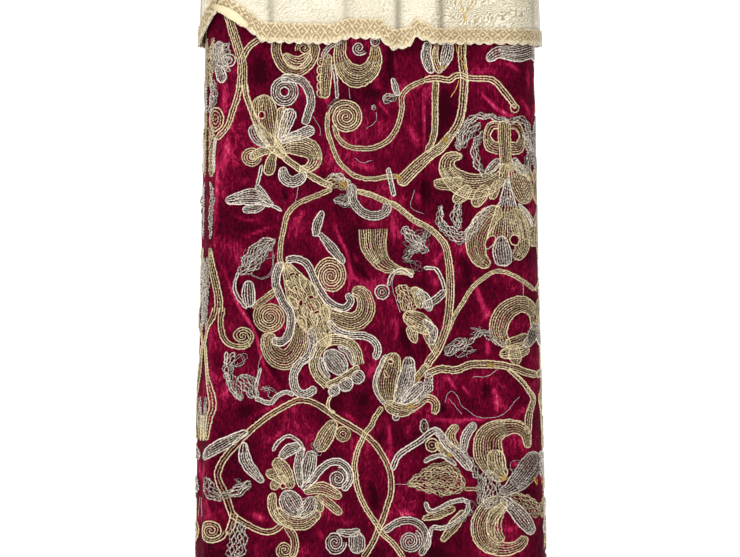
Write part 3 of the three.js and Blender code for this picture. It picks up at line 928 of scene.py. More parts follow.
# place down the body, place across it, lean of the loop
BODY_LOOPS = [
    (12, 0, 5), (25, -6, -12), (26, 6, 14), (38, 0, 2), (40, -12, -6), (39, 12, 10), (52, -6, 8),
    (53, 7, -10), (64, -1, 6), (62, -13, -4), (64, 13, 12), (77, -6, -8), (77, 6, 10), (88, 0, 0),
]
LOOP_HALF, LOOP_BOW = 8.0, 1.6
BODY_START = np.array((284.0, 262.0))
for down, across, lean in BODY_LOOPS:
    middle = BODY_START + down * body_axis + across * body_side
    reach = turned(body_axis[None] * LOOP_HALF, (0, 0), lean)[0]
    loop = [middle - reach, middle + LOOP_BOW * body_side, middle + reach]
    couch("gold", leaf(loop, [4, 9, 4]), lift=0.45)
open_hole((292, 274), 3.8, 1.9, -25)
open_hole((301, 303), 2.4, 3.6)
open_hole((317, 312), 3.8, 1.9, -15)
open_hole((311, 297), 3.6, 2.2, 10)
open_hole((296, 289), 1.5, 3.0, -20)
couch("gold",
      leaf([(214, 248), (217, 266), (221, 283), (224, 300), (224, 312)], [7, 8, 8, 9], "base"),
      leaf([(221, 308), (219, 318), (213, 330), (206, 346)], 6, "tip"),
      leaf([(227, 308), (226, 325), (230, 341), (241, 347), (250, 344)], 6.2, "tip"),
      scroll((244, 336), 11, 110, -1),
      stem([(208, 345), (211, 357), (214, 373), (218, 388), (221, 405), (218, 420), (215, 440)], 7),
      stem([(207, 415), (208, 441)], 5), lift=0.5)
couch("gold",
      leaf([(328, 385), (318, 375), (314, 361), (319, 348), (331, 340), (345, 341), (355, 350),
            (359, 365)], 12, "open"),
      leaf([(326, 386), (341, 379), (359, 367)], 8), lift=0.3)
couch("silver",
      stem([(281, 262), (276, 277), (277, 288), (283, 302), (290, 312), (291, 325), (288, 336),
            (281, 342), (272, 340)], 9.5),
      stem([(286, 260), (297, 259), (307, 264), (313, 276), (320, 290), (328, 301), (337, 307),
            (345, 308), (351, 301), (347, 294)], 8.5),
      stem([(328, 321), (337, 331), (350, 335), (365, 336), (374, 341), (378, 350), (375, 359)], 8.5),
      stem([(311, 328), (313, 343), (309, 356), (300, 363), (294, 373), (294, 384), (298, 392),
            (306, 394), (316, 388)], 9.5),
      leaf([(326, 351), (335, 361), (345, 373)], [14, 23, 16]),
      leaf([(338, 347), (349, 352), (354, 365)], [5, 9, 6]),
      leaf([(321, 357), (322, 368), (329, 378)], [5, 9, 6]), leaf([(353, 373), (363, 381)], 16),
      leaf([(341, 380), (351, 389)], 17), leaf([(330, 387), (338, 394)], 15),
      leaf([(249, 281), (249, 294), (250, 307)], [9, 14, 11]),
      frayed([(212, 398), (210, 430)], [7, 10], 19),
      frayed([(208, 258), (210, 282), (208, 308), (210, 330)], [6, 11, 10, 6], 43),
      frayed([(238, 352), (232, 366), (236, 384), (243, 399)], [5, 9, 10, 8], 44),
      frayed([(243, 375), (250, 385), (253, 397)], [11, 17, 10], 45),
      stem([(231, 372), (233, 382), (236, 392), (243, 400)], 4),
      stem([(261, 368), (258, 378), (256, 386), (258, 397)], 4), stem([(231, 352), (230, 364)], 4),
      stem([(255, 398), (270, 403), (277, 396), (286, 392), (294, 395)], 5.5), lift=0.4)
couch("white",
      tangle((336, 361), 9, 9, 41, 3), strand([(251, 274), (262, 278), (271, 271), (273, 254)]),
      strand([(262, 354), (258, 370), (259, 386)]), tangle((240, 362), 8, 9, 47, 2),
      tangle((268, 391), 9, 7, 48, 2), lift=1.2)
so_far("great flower")

# %% Middle right spray
couch("gold",
      leaf([(447, 334), (455, 315), (463, 302), (472, 288), (485, 277), (497, 271), (510, 275),
            (520, 281), (535, 290)], 5.2, "tip"),
      frayed([(398, 286), (407, 297), (411, 313)], [11, 22, 14], 50),
      leaf([(404, 314), (418, 322), (433, 331)], [12, 22, 13]),
      leaf([(410, 326), (413, 335), (415, 343)], [12, 12, 6]),
      leaf([(424, 331), (431, 343), (437, 354)], 8, "base"),
      leaf([(412, 288), (419, 296), (420, 308)], [8, 13, 9]),
      leaf([(505, 347), (497, 331), (503, 312), (518, 304), (532, 312), (533, 330)],
            [9, 17, 19, 18, 15, 9]),
      leaf([(503, 345), (514, 342), (524, 335)], [12, 14, 9]),
      leaf([(498, 355), (510, 352), (526, 347)], [9, 17, 14]),
      leaf([(512, 345), (511, 354), (514, 364)], [8, 14, 10]),
      leaf([(395, 353), (391, 367), (387, 384), (390, 404)], [13, 23, 23, 13]),
      leaf([(385, 402), (394, 408), (404, 410), (416, 405), (425, 399), (432, 399), (436, 405),
            (434, 414)], [10, 15, 14, 11, 9, 9, 9, 8]),
      stem([(424, 376), (440, 369), (456, 370), (469, 365), (484, 364), (498, 365), (513, 369),
            (524, 373), (536, 375)], 8.5),
      leaf([(505, 369), (517, 381), (524, 390), (530, 399), (526, 410), (524, 421), (523, 434)],
            [5, 5.5, 6.5, 8, 9, 9], "tip"),
      stem([(428, 364), (418, 376), (412, 386)], 8))
open_hole((390.5, 361.5), 3.4, 2.2, 10)
open_hole((386, 374), 1.6, 4.5, -22)
couch("silver",
      leaf([(417, 290), (426, 299), (430, 311)], [8, 11, 8]),
      leaf([(423, 320), (433, 331), (431, 345)], [7, 11, 7]), ring((382, 292), 7, 7, hole=0.3),
      stem([(388, 286), (392, 275), (402, 270), (413, 277)], 4.6),
      stem([(424, 268), (436, 269), (442, 280), (445, 291)], 4.6),
      stem([(422, 306), (434, 301), (445, 291)], 9),
      stem([(386, 355), (379, 369), (375, 383), (378, 395), (385, 404)], 5.5),
      leaf([(409, 357), (407, 378), (397, 403)], [11, 19, 12]),
      leaf([(423, 383), (413, 393), (402, 403)], [9, 14, 9]),
      frayed([(428, 372), (428, 386), (414, 402)], [7, 12, 8], 59),
      frayed([(445, 355), (455, 346), (467, 340)], [8, 13, 8], 51),
      frayed([(463, 351), (474, 338), (483, 333), (494, 341), (504, 344)], [3, 5, 6, 6, 5], 52),
      leaf([(520, 346), (529, 338), (535, 324)], [8, 14, 10]), ring((396, 417), 3.4, 3.4, hole=0.4),
      ring((424, 426), 4.2, 7), lift=0.35)
couch("white",
      tangle((466, 352), 12, 6, 54, 2), tangle((482, 331), 13, 5, 55, 2),
      tangle((412, 384), 8, 13, 56, 2),
      strand([(445, 403), (447, 395), (452, 391), (458, 397), (461, 405), (469, 411), (475, 416),
              (484, 418), (495, 417), (504, 411), (510, 402), (515, 397)]),
      strand([(473, 377), (488, 376), (496, 369)]), strand([(519, 279), (520, 296)]),
      strand([(449, 399), (462, 414)]), strand([(396, 270), (392, 284), (396, 300), (400, 312)]),
      tangle((412, 264), 10, 8, 57, 2), lift=1.1)
couch("yellow",
      tangle((490, 365), 4, 2, 58, 3), tangle((409, 407), 6, 2, 59, 3), tangle((418, 378), 2, 4, 60, 3),
      lift=1.3)
so_far("middle right")

# %% Lower left spray
couch("gold",
      stem([(286, 521), (278, 528), (270, 532), (262, 531), (250, 526), (238, 516), (234, 506),
            (231, 494), (227, 484), (225, 474), (229, 460), (238, 446), (249, 432), (267, 417),
            (289, 404), (299, 400), (309, 401), (320, 406), (337, 418), (359, 431), (374, 443),
            (383, 456), (389, 468), (391, 480), (391, 492), (388, 503), (384, 516), (379, 528),
            (372, 544), (363, 558)], 7),
      leaf([(365, 434), (358, 449), (355, 461), (355, 472), (358, 490), (366, 508), (376, 523),
            (383, 534), (393, 543), (404, 558)], 6.4, "tip"),
      leaf([(364, 434), (371, 426), (374, 419), (382, 407)], 6.2, "tip"),
      stem([(332, 395), (328, 402), (329, 409), (335, 413)], 4),
      leaf([(335, 421), (327, 434), (318, 451)], [11, 18, 15]), ring((343, 434), 7.5, 7.5),
      leaf([(275, 459), (283, 470), (292, 488)], [13, 17, 10]),
      leaf([(266, 473), (277, 475), (288, 484)], [10, 14, 9]),
      leaf([(272, 489), (278, 482), (287, 478)], [9, 12, 9]),
      stem([(273, 493), (272, 504), (275, 514), (284, 524)], 10),
      leaf([(275, 509), (288, 520), (303, 522), (320, 512)], [10, 16, 17, 10]),
      stem([(286, 526), (293, 535), (295, 546), (292, 557)], 9), scroll((285, 550), 10.5, 10),
      scroll((220, 531), 13, 0), leaf([(238, 513), (236, 524), (233, 534)], 7, "tip"),
      leaf([(304, 491), (322, 488), (341, 497)], [9, 14, 9]),
      leaf([(318, 495), (330, 504), (341, 514)], [10, 10, 9]),
      leaf([(315, 496), (318, 504), (321, 512)], [7, 12, 9]))
open_hole((283, 486), 2.6, 2.8)
couch("silver",
      leaf([(248, 431), (229, 444), (210, 459)], [7, 13, 10]),
      leaf([(245, 442), (246, 458), (252, 470), (263, 482)], [6, 11, 12, 7]),
      frayed([(217, 478), (218, 490), (228, 500)], [9, 14, 8], 61),
      frayed([(229, 496), (240, 491), (250, 482)], [7, 12, 8], 62),
      stem([(273, 451), (278, 442), (289, 436), (299, 442), (305, 451)], 4.4),
      leaf([(280, 458), (289, 450), (301, 446)], [8, 13, 10]),
      leaf([(302, 447), (298, 465), (301, 487)], [8, 10, 7]),
      leaf([(312, 451), (309, 467), (306, 483)], [12, 16, 10]),
      stem([(302, 489), (311, 481), (322, 468), (332, 462), (342, 463), (349, 471), (350, 480),
            (343, 490)], 8.5),
      scroll((338, 478.5), 11.5, -90), leaf([(285, 491), (291, 503), (300, 515)], [17, 25, 15]),
      leaf([(314, 497), (308, 508), (299, 516)], [11, 18, 11]),
      frayed([(241, 521), (241, 540), (238, 558)], [10, 15, 15], 67),
      scroll((335, 542), 11.5, 0, 1, 1.15), leaf([(337, 531), (349, 533), (360, 531)], [7, 9, 9]),
      leaf([(357, 532), (357, 553)], 17), lift=0.35)
couch("white",
      tangle((244, 484), 7, 6, 64, 2), tangle((316, 448), 6, 8, 65, 2),
      strand([(290, 509), (296, 500), (306, 498)]), strand([(206, 498), (209, 517)]), lift=1.1)
so_far("lower left")

# %% Lower right spray
couch("gold",
      frayed([(408, 483), (424, 481), (443, 479), (464, 487)], [6, 27, 38, 14], 70),
      stem([(464, 489), (480, 489)], 4.5), leaf([(422, 519), (438, 514), (455, 508)], [5, 12, 7]),
      leaf([(465, 511), (453, 526), (442, 541)], [9, 13, 6]),
      leaf([(457, 425), (450, 436), (457, 450)], [9, 11, 9]), ring((432, 445), 6.5, 6.5),
      leaf([(436, 443), (448, 456)], 7.5),
      leaf([(500, 481), (493, 470), (487, 454), (488, 438), (498, 429), (512, 427), (521, 434),
            (523, 448)], [9, 19, 28, 28, 21, 15, 12, 8]),
      leaf([(502, 498), (488, 512), (482, 527), (486, 541), (499, 549), (512, 546), (520, 537)],
            [13, 23, 25, 23, 17, 13, 10]),
      frayed([(506, 494), (519, 501), (535, 515)], [6, 15, 18], 73))
couch("gold",
      leaf([(502, 477), (495, 464), (495, 450)], [9, 17, 15]),
      leaf([(502, 503), (494, 516), (493, 530), (499, 542)], [8, 14, 14, 9]), lift=0.35)
couch("silver",
      leaf([(392, 470), (398, 456), (407, 449), (418, 442), (430, 433), (437, 431), (447, 444),
            (458, 454), (471, 469)], [7, 7, 7, 7.5, 9, 11, 11]),
      leaf([(475, 423), (466, 436), (463, 452)], [9, 11, 8]),
      stem([(424, 462), (433, 457), (443, 456), (456, 465)], 5.5),
      stem([(425, 502), (430, 511), (440, 508), (449, 503), (462, 500), (470, 503)], 5.5),
      stem([(469, 503), (466, 513), (454, 523), (443, 528), (432, 528), (428, 542), (424, 549)], 5.5),
      frayed([(487, 470), (488, 488), (486, 508)], [14, 26, 17], 80),
      leaf([(498, 493), (508, 487), (520, 474), (535, 454)], [8, 19, 25, 20]),
      leaf([(499, 497), (507, 506), (516, 518), (527, 534)], [8, 13, 16, 11]),
      scroll((410, 541), 12.5, -60),
      stem([(384, 531), (396, 523), (407, 520), (418, 523), (425, 532), (427, 543), (420, 555)], 8.5),
      frayed([(464, 452), (472, 466), (478, 478)], [5, 9, 7], 71), lift=0.35)
couch("white",
      tangle((468, 512), 9, 12, 74, 2), tangle((512, 470), 8, 10, 75, 2),
      strand([(394, 484), (408, 484)]), strand([(469, 507), (474, 516), (470, 530)]), lift=1.1)
couch("yellow",
      tangle((501, 478), 4, 3, 77, 3), tangle((530, 482), 3, 5, 78, 3), tangle((450, 455), 3, 3, 79, 3),
      lift=1.2)
so_far("lower right")

# %% [markdown]
# ## Carrying the ornament round the cover
# The front is the side with the most to show; the rest is finished with the same ornament, turned
# over at the corners like a repeat, so that stems which leave one side come back on the next.

# %% Repeats
CHART_LEFT = CHART_MIDDLE - CHART_HALF
CHART_RIGHT = CHART_MIDDLE + CHART_HALF
HEM_BORDER = 666.0
BACK_SEAM_CLEAR = 2.0
BACK_REACH = PERIMETER / 2 - BACK_SEAM_CLEAR
CUT_STEP = 0.6


def cut_to(work, low, high):
    """The stretches of the work that stay inside a box on the chart."""
    return [(part, *rest) for path, *rest in work
            for part in runs(path, np.all((path >= low) & (path <= high), axis=1))]


def turned_over(work, flip, shift):
    """A mirror copy: each place times a flip, moved by a shift."""
    return [(path * np.array(flip, float) + np.array(shift, float), *rest) for path, *rest in work]


def sides_of(thread):
    """The front's work in one thread down to the hem's border, and copies turned over to both sides."""
    fine = [(even_steps(path, CUT_STEP)[0], *rest) for path, *rest in needlework[thread]]
    chart = cut_to(fine, (CHART_LEFT, 0), (CHART_RIGHT, CHART_BOTTOM))
    lower = cut_to(chart, (CHART_LEFT, 2 * CHART_BOTTOM - HEM_BORDER), (CHART_RIGHT, CHART_BOTTOM))
    front = chart + turned_over(lower, (1, -1), (0, 2 * CHART_BOTTOM))
    right = turned_over(front, (-1, 1), (2 * CHART_RIGHT, 0))
    left = turned_over(front, (-1, 1), (2 * CHART_LEFT, 0))
    return {
        "front": front,
        "right": cut_to(right, (CHART_MIDDLE, 0), (CHART_MIDDLE + BACK_REACH, HEM_BORDER)),
        "left": cut_to(left, (CHART_MIDDLE - BACK_REACH, 0), (CHART_MIDDLE, HEM_BORDER)),
    }


print(f"the chart is {CHART_RIGHT - CHART_LEFT:.0f} mm across, the cover {PERIMETER:.0f} mm round")

# %% [markdown]
# ## From curves to cords
# Every thread becomes a low cord that follows the velvet's folds. A curve object with a round bevel would
# do, but thousands of them are slow and sink into the folds, so one array holds all the rings of a piece.
# A ring is three points, and every second ring is pinched a little, where a stitch holds the cord down.

# %% Cords on the velvet
CORD_HIGH = 1.25
# half width, height
CORD_SIZES = {
    "gold": (CORD_HALF, CORD_HIGH), "silver": (CORD_HALF, CORD_HIGH),
    "white": (0.3, 0.5), "yellow": (0.36, 0.6),
}
RING_STEP = 2.5
UNEVEN = 0.2
PINCH = 0.84
PINCH_STAYS_HIGH = 0.6
OUTLINE_SHADES, FILLING_SHADES = (0.55, 1.0), (0.2, 0.85)
# outlines lie higher, and their narrow map across keeps the painted gap shade off them
OUTLINE_LIFT, OUTLINE_SPREAD = 0.12, 0.40
LIFT_VARIES = (-0.08, 0.08)
STITCH_STARTS = (0, 9)
NUDGE = 0.5
SECTION = np.array([(-1.0, 0.0), (0.0, 1.0), (1.0, 0.0)])
SIDES = len(SECTION)
SINK = 0.15


def tape_map(segments, ends):
    """Lays the cords out as one long tape cut into rows: a cell for each segment's sides or each end."""
    across = max(1, math.ceil(math.sqrt((segments + ends) * SIDES)))
    down = math.ceil((segments + ends) / across)
    cell = np.arange(segments + ends)[:, None]
    corner = np.array([(0, 0), (0, 1), (1, 1), (1, 0)], float)
    side = np.repeat(np.arange(SIDES), 4)
    u = np.tile(corner[:, 0], SIDES)
    v = (side + np.tile(corner[:, 1], SIDES)) / SIDES
    along = np.stack([(cell[:segments] % across + u) / across, (cell[:segments] // across + v) / down], -1)
    last = np.stack([(cell[segments:] % across + corner[:SIDES, 0]) / across,
                     (cell[segments:] // across + corner[:SIDES, 1]) / down], -1)
    return np.concatenate([along.reshape(-1, 2), last.reshape(-1, 2)])


def cords(name, work, thread, seed, surface=velvet_point):
    """One mesh of many cords: on each ring three points across the thread's path and up from the cloth."""
    half, high = CORD_SIZES[thread]
    random = np.random.default_rng(seed)
    columns = []
    for path, lift, outline in work:
        place, at = even_steps(path, RING_STEP)
        place = place + random.normal(0, UNEVEN, place.shape)
        pinched = (np.arange(len(place)) + random.integers(2)) % 2
        narrow = 1 - (1 - PINCH) * pinched
        shade = random.uniform(*(OUTLINE_SHADES if outline else FILLING_SHADES))
        lifted = lift + random.uniform(*LIFT_VARIES) + (OUTLINE_LIFT if outline else 0.0)
        joined = np.arange(len(place)) < len(place) - 1
        same = np.tile((lifted, shade, OUTLINE_SPREAD if outline else 1.0), (len(at), 1))
        along = at + random.uniform(*STITCH_STARTS)
        columns.append(np.column_stack([place, along, narrow, joined, same]))
    x, y, along, narrow, joined, lift, tone, spread = np.concatenate(columns).T
    joined = joined > 0.5
    walk, drop = x - CHART_MIDDLE, y - CHART_TOP
    ahead = np.stack([np.roll(x, -1) - x, np.roll(y, -1) - y], 1)
    ahead = np.where(joined[:, None], ahead, np.roll(ahead, 1, 0))
    here = surface(walk, drop)
    beyond_walk = (surface(walk + NUDGE, drop) - here) / NUDGE
    beyond_drop = (surface(walk, drop + NUDGE) - here) / NUDGE
    up = np.cross(beyond_drop, beyond_walk)
    up /= np.linalg.norm(up, axis=1, keepdims=True)
    forward = beyond_walk * ahead[:, :1] + beyond_drop * ahead[:, 1:]
    forward /= np.maximum(np.linalg.norm(forward, axis=1, keepdims=True), 1e-9)
    side = np.cross(forward, up)
    base = here + up * (lift - SINK)[:, None]
    sideways = SECTION[None, :, 0] * (half * narrow)[:, None]
    tall = high * (PINCH_STAYS_HIGH + (1 - PINCH_STAYS_HIGH) * narrow)
    upwards = SECTION[None, :, 1] * tall[:, None]
    rings = base[:, None] + side[:, None] * sideways[..., None] + up[:, None] * upwards[..., None]
    ring = np.flatnonzero(joined)[:, None] * SIDES
    j = np.arange(SIDES)
    after = (j + 1) % SIDES
    quads = np.stack([ring + j, ring + after, ring + SIDES + after, ring + SIDES + j], -1).reshape(-1, 4)
    last = np.flatnonzero(~joined)
    first = np.concatenate([[0], last[:-1] + 1])
    caps = np.concatenate([first[:, None] * SIDES + j[::-1], last[:, None] * SIDES + j])
    thread_map = np.stack([np.repeat(along, SIDES) * MM, (spread[:, None] * SECTION[:, 0]).ravel()], 1)
    maps = {
        "thread": thread_map[np.concatenate([quads.ravel(), caps.ravel()])],
        "OFBake": tape_map(len(ring), len(caps)),
    }
    piece = mesh_object(name, rings.reshape(-1, 3), [quads, caps], maps, np.repeat(tone, SIDES))
    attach(piece, "root")
    print(name, len(work), "threads,", 2 * len(quads) + len(caps), "triangles")
    return piece


# %% [markdown]
# ## The metal threads' finish
# Each thread is a strip of silver or gilt silver wound round a silk core, now dull: light beige on its
# crown, brown where the gilding wore off. Every cord has its own tone, noise along it adds the tarnish
# and small spots that are partly painted glints, dark dots beside the crown are painted shade in the gaps
# where the couching stitches pinch the cord, and fine lines across are the strip's winding.

# %% Gold, silver and silk threads
# the stitches' length and wander, and how deep the painted shade in the gaps at them goes
STITCH_LENGTH = 0.0033
STITCH_DRIFT = 9.0
STITCH_GAP_SHADE = 0.97
WINDING_PACE = 9000.0
# the speckle's spots are random tone and painted glints
TONE_LIGHT, TARNISH_LIGHT, SPECKLE_GLINT_LIGHT = 0.72, 0.6, 1.2
WORN_SHARE = 0.4
TARNISH_ROUGH = 0.3
# the painted shade in the gaps beside each cord's crown
GAP_SHADE = (0.018, 0.010, 0.008)


def thread_finish(name, dark, light, worn, metallic, roughness):
    """Each cord's tone, tarnish and spots, partly painted glints, pick its metal; waves along the cord put
    painted shade in the gaps at its stitches, and bump its winding.
    """
    finish = Finish(name, Metallic=metallic)
    where = finish.object_place()
    tarnish = finish.noise(where, scale=55.0)
    speckle_and_glints = finish.noise(where, scale=420.0, detail=2.0)
    laid = finish.flat_map("thread")
    along = finish.axis(laid, 0)
    edge = abs(finish.axis(laid, 1))
    winding = (along * WINDING_PACE).sine()
    drift = finish.noise(where, scale=300.0, detail=2.0)
    stitch_angle = along * (2 * math.pi / STITCH_LENGTH) + (drift - MEAN) * STITCH_DRIFT
    stitches = stitch_angle.sine().between(-0.6, 0.3)
    spotted = (tarnish - MEAN) * TARNISH_LIGHT + (speckle_and_glints - MEAN) * SPECKLE_GLINT_LIGHT
    bright = finish.tone() * TONE_LIGHT + spotted
    metal = finish.mix(bright.between(-0.05, 0.95), dark, light)
    tarnished = finish.mix(tarnish.between(0.56, 0.74) * WORN_SHARE, metal, worn)
    # painted shade in the gaps beside the crown, at each stitch
    painted_gap_shade = edge.between(0.05, 0.5) * stitches * STITCH_GAP_SHADE
    finish.feed("Base Color", finish.mix(painted_gap_shade, tarnished, GAP_SHADE))
    finish.feed("Roughness", roughness + (tarnish - MEAN) * TARNISH_ROUGH)
    finish.feed("Normal", finish.bump(winding, distance=0.00006, strength=0.35))
    return finish.material


# material's name, dark, light and worn colours, metal's share, roughness
THREAD_COLOURS = {
    "gold": ("gilt_thread", (0.23, 0.155, 0.068), (0.93, 0.78, 0.49), (0.42, 0.31, 0.165), 0.3, 0.45),
    "silver": ("silver_thread", (0.245, 0.195, 0.155), (0.97, 0.875, 0.77), (0.45, 0.38, 0.315), 0.3, 0.45),
    "white": ("loose_silver_thread", (0.20, 0.16, 0.13), (0.78, 0.72, 0.66), (0.50, 0.43, 0.38), 0.1, 0.5),
    "yellow": ("silk_core", (0.72, 0.40, 0.05), (0.95, 0.68, 0.16), (0.80, 0.52, 0.09), 0.0, 0.55),
}
WORK_SEED, THREAD_SEEDS, LOOSE_SEED = 100, 10, 140

embroidery = []
thread_finishes = {}
for number, thread in enumerate(THREAD_COLOURS):
    thread_finishes[thread] = thread_finish(*THREAD_COLOURS[thread])
    sides = sides_of(thread)
    if thread in ("gold", "silver"):
        made = [cords(f"{thread}_work_{side}", work, thread, WORK_SEED + THREAD_SEEDS * number + len(side))
                for side, work in sides.items()]
    else:
        made = [cords(f"{thread}_loose_threads", sum(sides.values(), []), thread, LOOSE_SEED + number)]
    for piece in made:
        piece.data.materials.append(thread_finishes[thread])
    embroidery += made

# %% [markdown]
# ## The cape
# A short brocade cape is sewn down on the top, bends over the rim and hangs in flat panels with knife
# pleats. It is one sheet with a slit near the left corner. Each pleat rises slowly to its edge and then
# falls back, and the hem follows a short table of drops.

# %% The cape's sheet
CAPE_THICKNESS = 1.2
CAPE_LIP_REACH = 14.0
CAPE_LIP_HEIGHT = 8.0
CAPE_STAND_OFF = 6.0
CAPE_PLEAT_START = 40.0
CAPE_PLEAT_FALL = 7.0
CAPE_BEND_OUT = 4.0
SLIT_AT = -148.0
SLIT_WIDTH = 1.5
SLIT_AGAIN = SLIT_AT + PERIMETER

# place along the rim, drop
CAPE_HEM = np.array([
    (SLIT_AT, 216), (-125, 233), (-108, 248), (-40, 250), (-20, 244), (10, 245), (22, 256), (40, 253),
    (45, 243), (65, 250), (165, 250), (330, 246), (480, 252), (640, 247), (SLIT_AGAIN - 34, 250),
    (SLIT_AGAIN - 17, 236), (SLIT_AGAIN, 216),
], float)
# place of the edge, how far it stands out, how far back the rise begins
CAPE_PLEATS = [
    (-103, 2.2, 34), (-28, 1.4, 26), (24, 3.0, 40), (67, 3.0, 30), (158, 2.4, 46), (246, 3.2, 38),
    (318, 2.4, 34), (404, 3.0, 44), (486, 2.0, 30), (571, 3.2, 40), (648, 2.6, 36), (728, 3.0, 42),
]
# how far out from the rim, how high above the top's underside
CAPE_LIP = np.array([
    (-CAPE_LIP_REACH, CAPE_LIP_HEIGHT), (-8, CAPE_LIP_HEIGHT), (-2, CAPE_LIP_HEIGHT),
    (0.4, 7.7), (2.4, 7.0), (3.4, 5.8), (3.9, 4.2),
])
LIP_FLAT_START = -20.0
CAPE_STEP = 2.6
CAPE_ROWS = 70
# the ripples of the stiff silk: height, lengths, and how the long one sways and the short one slants
RIPPLE = 0.35
LONG_RIPPLE, LONG_SWAY, LONG_SWAY_LENGTH = 9.0, 0.6, 23.0
SHORT_RIPPLE, SHORT_SLANT = 5.3, 40.0
# the dark line under a pleat: how far past the edge, half width, the pleat that makes it full
SHADE_PAST, SHADE_HALF, SHADE_FULL = 4.0, 3.4, 3.0


def cape_hem(walk):
    """The hem's drop, by straight lines between the places of its table."""
    return np.interp(walk, CAPE_HEM[:, 0], CAPE_HEM[:, 1])


def cape_out(walk, drop):
    """A steady lean away from the velvet, plus each pleat's slow rise and quick fall, plus two ripples."""
    hem = cape_hem(walk)
    opened = smooth((drop - CAPE_PLEAT_START) / (hem - CAPE_PLEAT_START))
    out = CAPE_BEND_OUT + CAPE_STAND_OFF * np.clip(drop / hem, 0, 1)
    for at, stands, run in CAPE_PLEATS:
        past = walk - at
        rising = np.where(past <= 0, smooth(1 + past / run), smooth(1 - past / CAPE_PLEAT_FALL))
        out = out + stands * opened * rising
    long_ripple = np.sin(walk / LONG_RIPPLE + LONG_SWAY * np.sin(walk / LONG_SWAY_LENGTH))
    short_ripple = np.sin(walk / SHORT_RIPPLE + drop / SHORT_SLANT)
    return out + RIPPLE * opened * (long_ripple + short_ripple)


def fold_shade(walk, drop):
    """The dark line under each pleat's edge: a bell just past the edge, deeper where the pleat opens."""
    opened = smooth((drop - CAPE_PLEAT_START) / (cape_hem(walk) - CAPE_PLEAT_START))
    lines = [stands * np.exp(-(((walk - at - SHADE_PAST) / SHADE_HALF) ** 2))
             for at, stands, _ in CAPE_PLEATS]
    return opened * sum(lines) / SHADE_FULL


def round_the_rim(step):
    """Even places round the rim, from one side of the slit to the other."""
    return np.linspace(SLIT_AT + SLIT_WIDTH / 2, SLIT_AGAIN - SLIT_WIDTH / 2, round(PERIMETER / step))


lip_walk, lip_row = np.meshgrid(round_the_rim(CAPE_STEP), np.arange(len(CAPE_LIP)), indexing="ij")
lip = standing_out(lip_walk, CAPE_LIP[lip_row, 0], -CAPE_LIP[lip_row, 1])
lip_flat = np.stack([lip_walk, LIP_FLAT_START + CAPE_LIP[lip_row, 0] - CAPE_LIP[lip_row, 1] / 2], -1)
fall_walk, fall_share = np.meshgrid(round_the_rim(CAPE_STEP), np.linspace(0, 1, CAPE_ROWS), indexing="ij")
fall_drop = cape_hem(fall_walk) * fall_share
fall = standing_out(fall_walk, cape_out(fall_walk, fall_drop), fall_drop)
cape_flat = np.concatenate([lip_flat, np.stack([fall_walk, fall_drop], -1)], 1)
cape_shade = np.concatenate([np.zeros(lip_walk.shape), fold_shade(fall_walk, fall_drop)], 1)
cape = sheet_object("cape_brocade", np.concatenate([lip, fall], 1), CAPE_THICKNESS, cape_flat, cape_shade)
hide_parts("cape")

# %% [markdown]
# A few ends of orange silk have slipped out and lie over the cape. They are cords like those on the
# velvet, laid on the cape's face instead, so the same function takes another surface.

# %% Silk ends on the cape
SILK_LIFT = 0.2
SILK_SEED = 171


def cape_point(walk, drop):
    """A place on the cape's face."""
    return standing_out(walk, cape_out(walk, drop), drop)


SILK_ENDS = [
    [(459, -14), (461, 2), (463, 12), (465, 21)],
    [(476, -16), (471, 4), (466, 13), (464, 23)],
    [(466, 13), (463, 17), (466, 21)],
]
silk_work = [(path, SILK_LIFT, outline) for through in SILK_ENDS for path, outline in strand(through)]
cape_silk = cords("yellow_cape_threads", silk_work, "yellow", SILK_SEED, cape_point)
cape_silk.data.materials.append(thread_finishes["yellow"])

# %% [markdown]
# At the slit one corner of the cape has turned up and shows the plain back of the cloth. A fold made by
# bending the big sheet would need a far finer grid there, so the turned corner is a small rolled strip.

# %% The turned corner
CORNER_START = np.array((219.0, 6.0))
CORNER_END = np.array((248.0, 27.0))
CORNER_HEIGHT = 7.0
CORNER_ROLL = 2.2
CORNER_THICKNESS = 0.8
CORNER_COLUMNS, CORNER_ROWS = 40, 18
ROLLED_SHARE = 0.3
ROLL_DIPS = 1.2
# the outline along the corner: where its half wave starts, how much of it shows, how full it is
CORNER_FROM, CORNER_SHOWN, CORNER_FULL = 0.1, 0.86, 0.7
# the edge's wave: height, pace
CORNER_WAVE, CORNER_PACE = 0.6, 9
# shade towards the start and in the roll: how dark, how far it reaches
START_DARK, START_REACH = 0.5, 0.3
ROLL_DARK, ROLL_REACH = 0.3, 0.5
SLIT_CLEAR = 1.0

corner_u, corner_v = np.meshgrid(
    np.linspace(0, 1, CORNER_COLUMNS), np.linspace(0, 1, CORNER_ROWS), indexing="ij")
corner_run = CORNER_END - CORNER_START
corner_up = np.array((corner_run[1], -corner_run[0])) / np.linalg.norm(corner_run)
corner_high = CORNER_HEIGHT * np.sin(math.pi * (CORNER_FROM + CORNER_SHOWN * corner_u)) ** CORNER_FULL
corner_bend = np.minimum(corner_v / ROLLED_SHARE, 1) * math.pi
corner_rise = np.where(corner_v < ROLLED_SHARE, -ROLL_DIPS * np.sin(corner_bend),
                       (corner_v - ROLLED_SHARE) / (1 - ROLLED_SHARE) * corner_high)
corner_place = CORNER_START + corner_u[..., None] * corner_run + corner_rise[..., None] * corner_up
corner_walk = corner_place[..., 0] - CHART_MIDDLE
corner_drop = corner_place[..., 1] - CHART_TOP
corner_wave = CORNER_WAVE * corner_v * np.sin(CORNER_PACE * corner_u)
corner_lift = CORNER_ROLL * (0.5 - 0.5 * np.cos(corner_bend)) + corner_wave
corner_out = cape_out(np.maximum(corner_walk, SLIT_AT + SLIT_CLEAR), corner_drop) + corner_lift
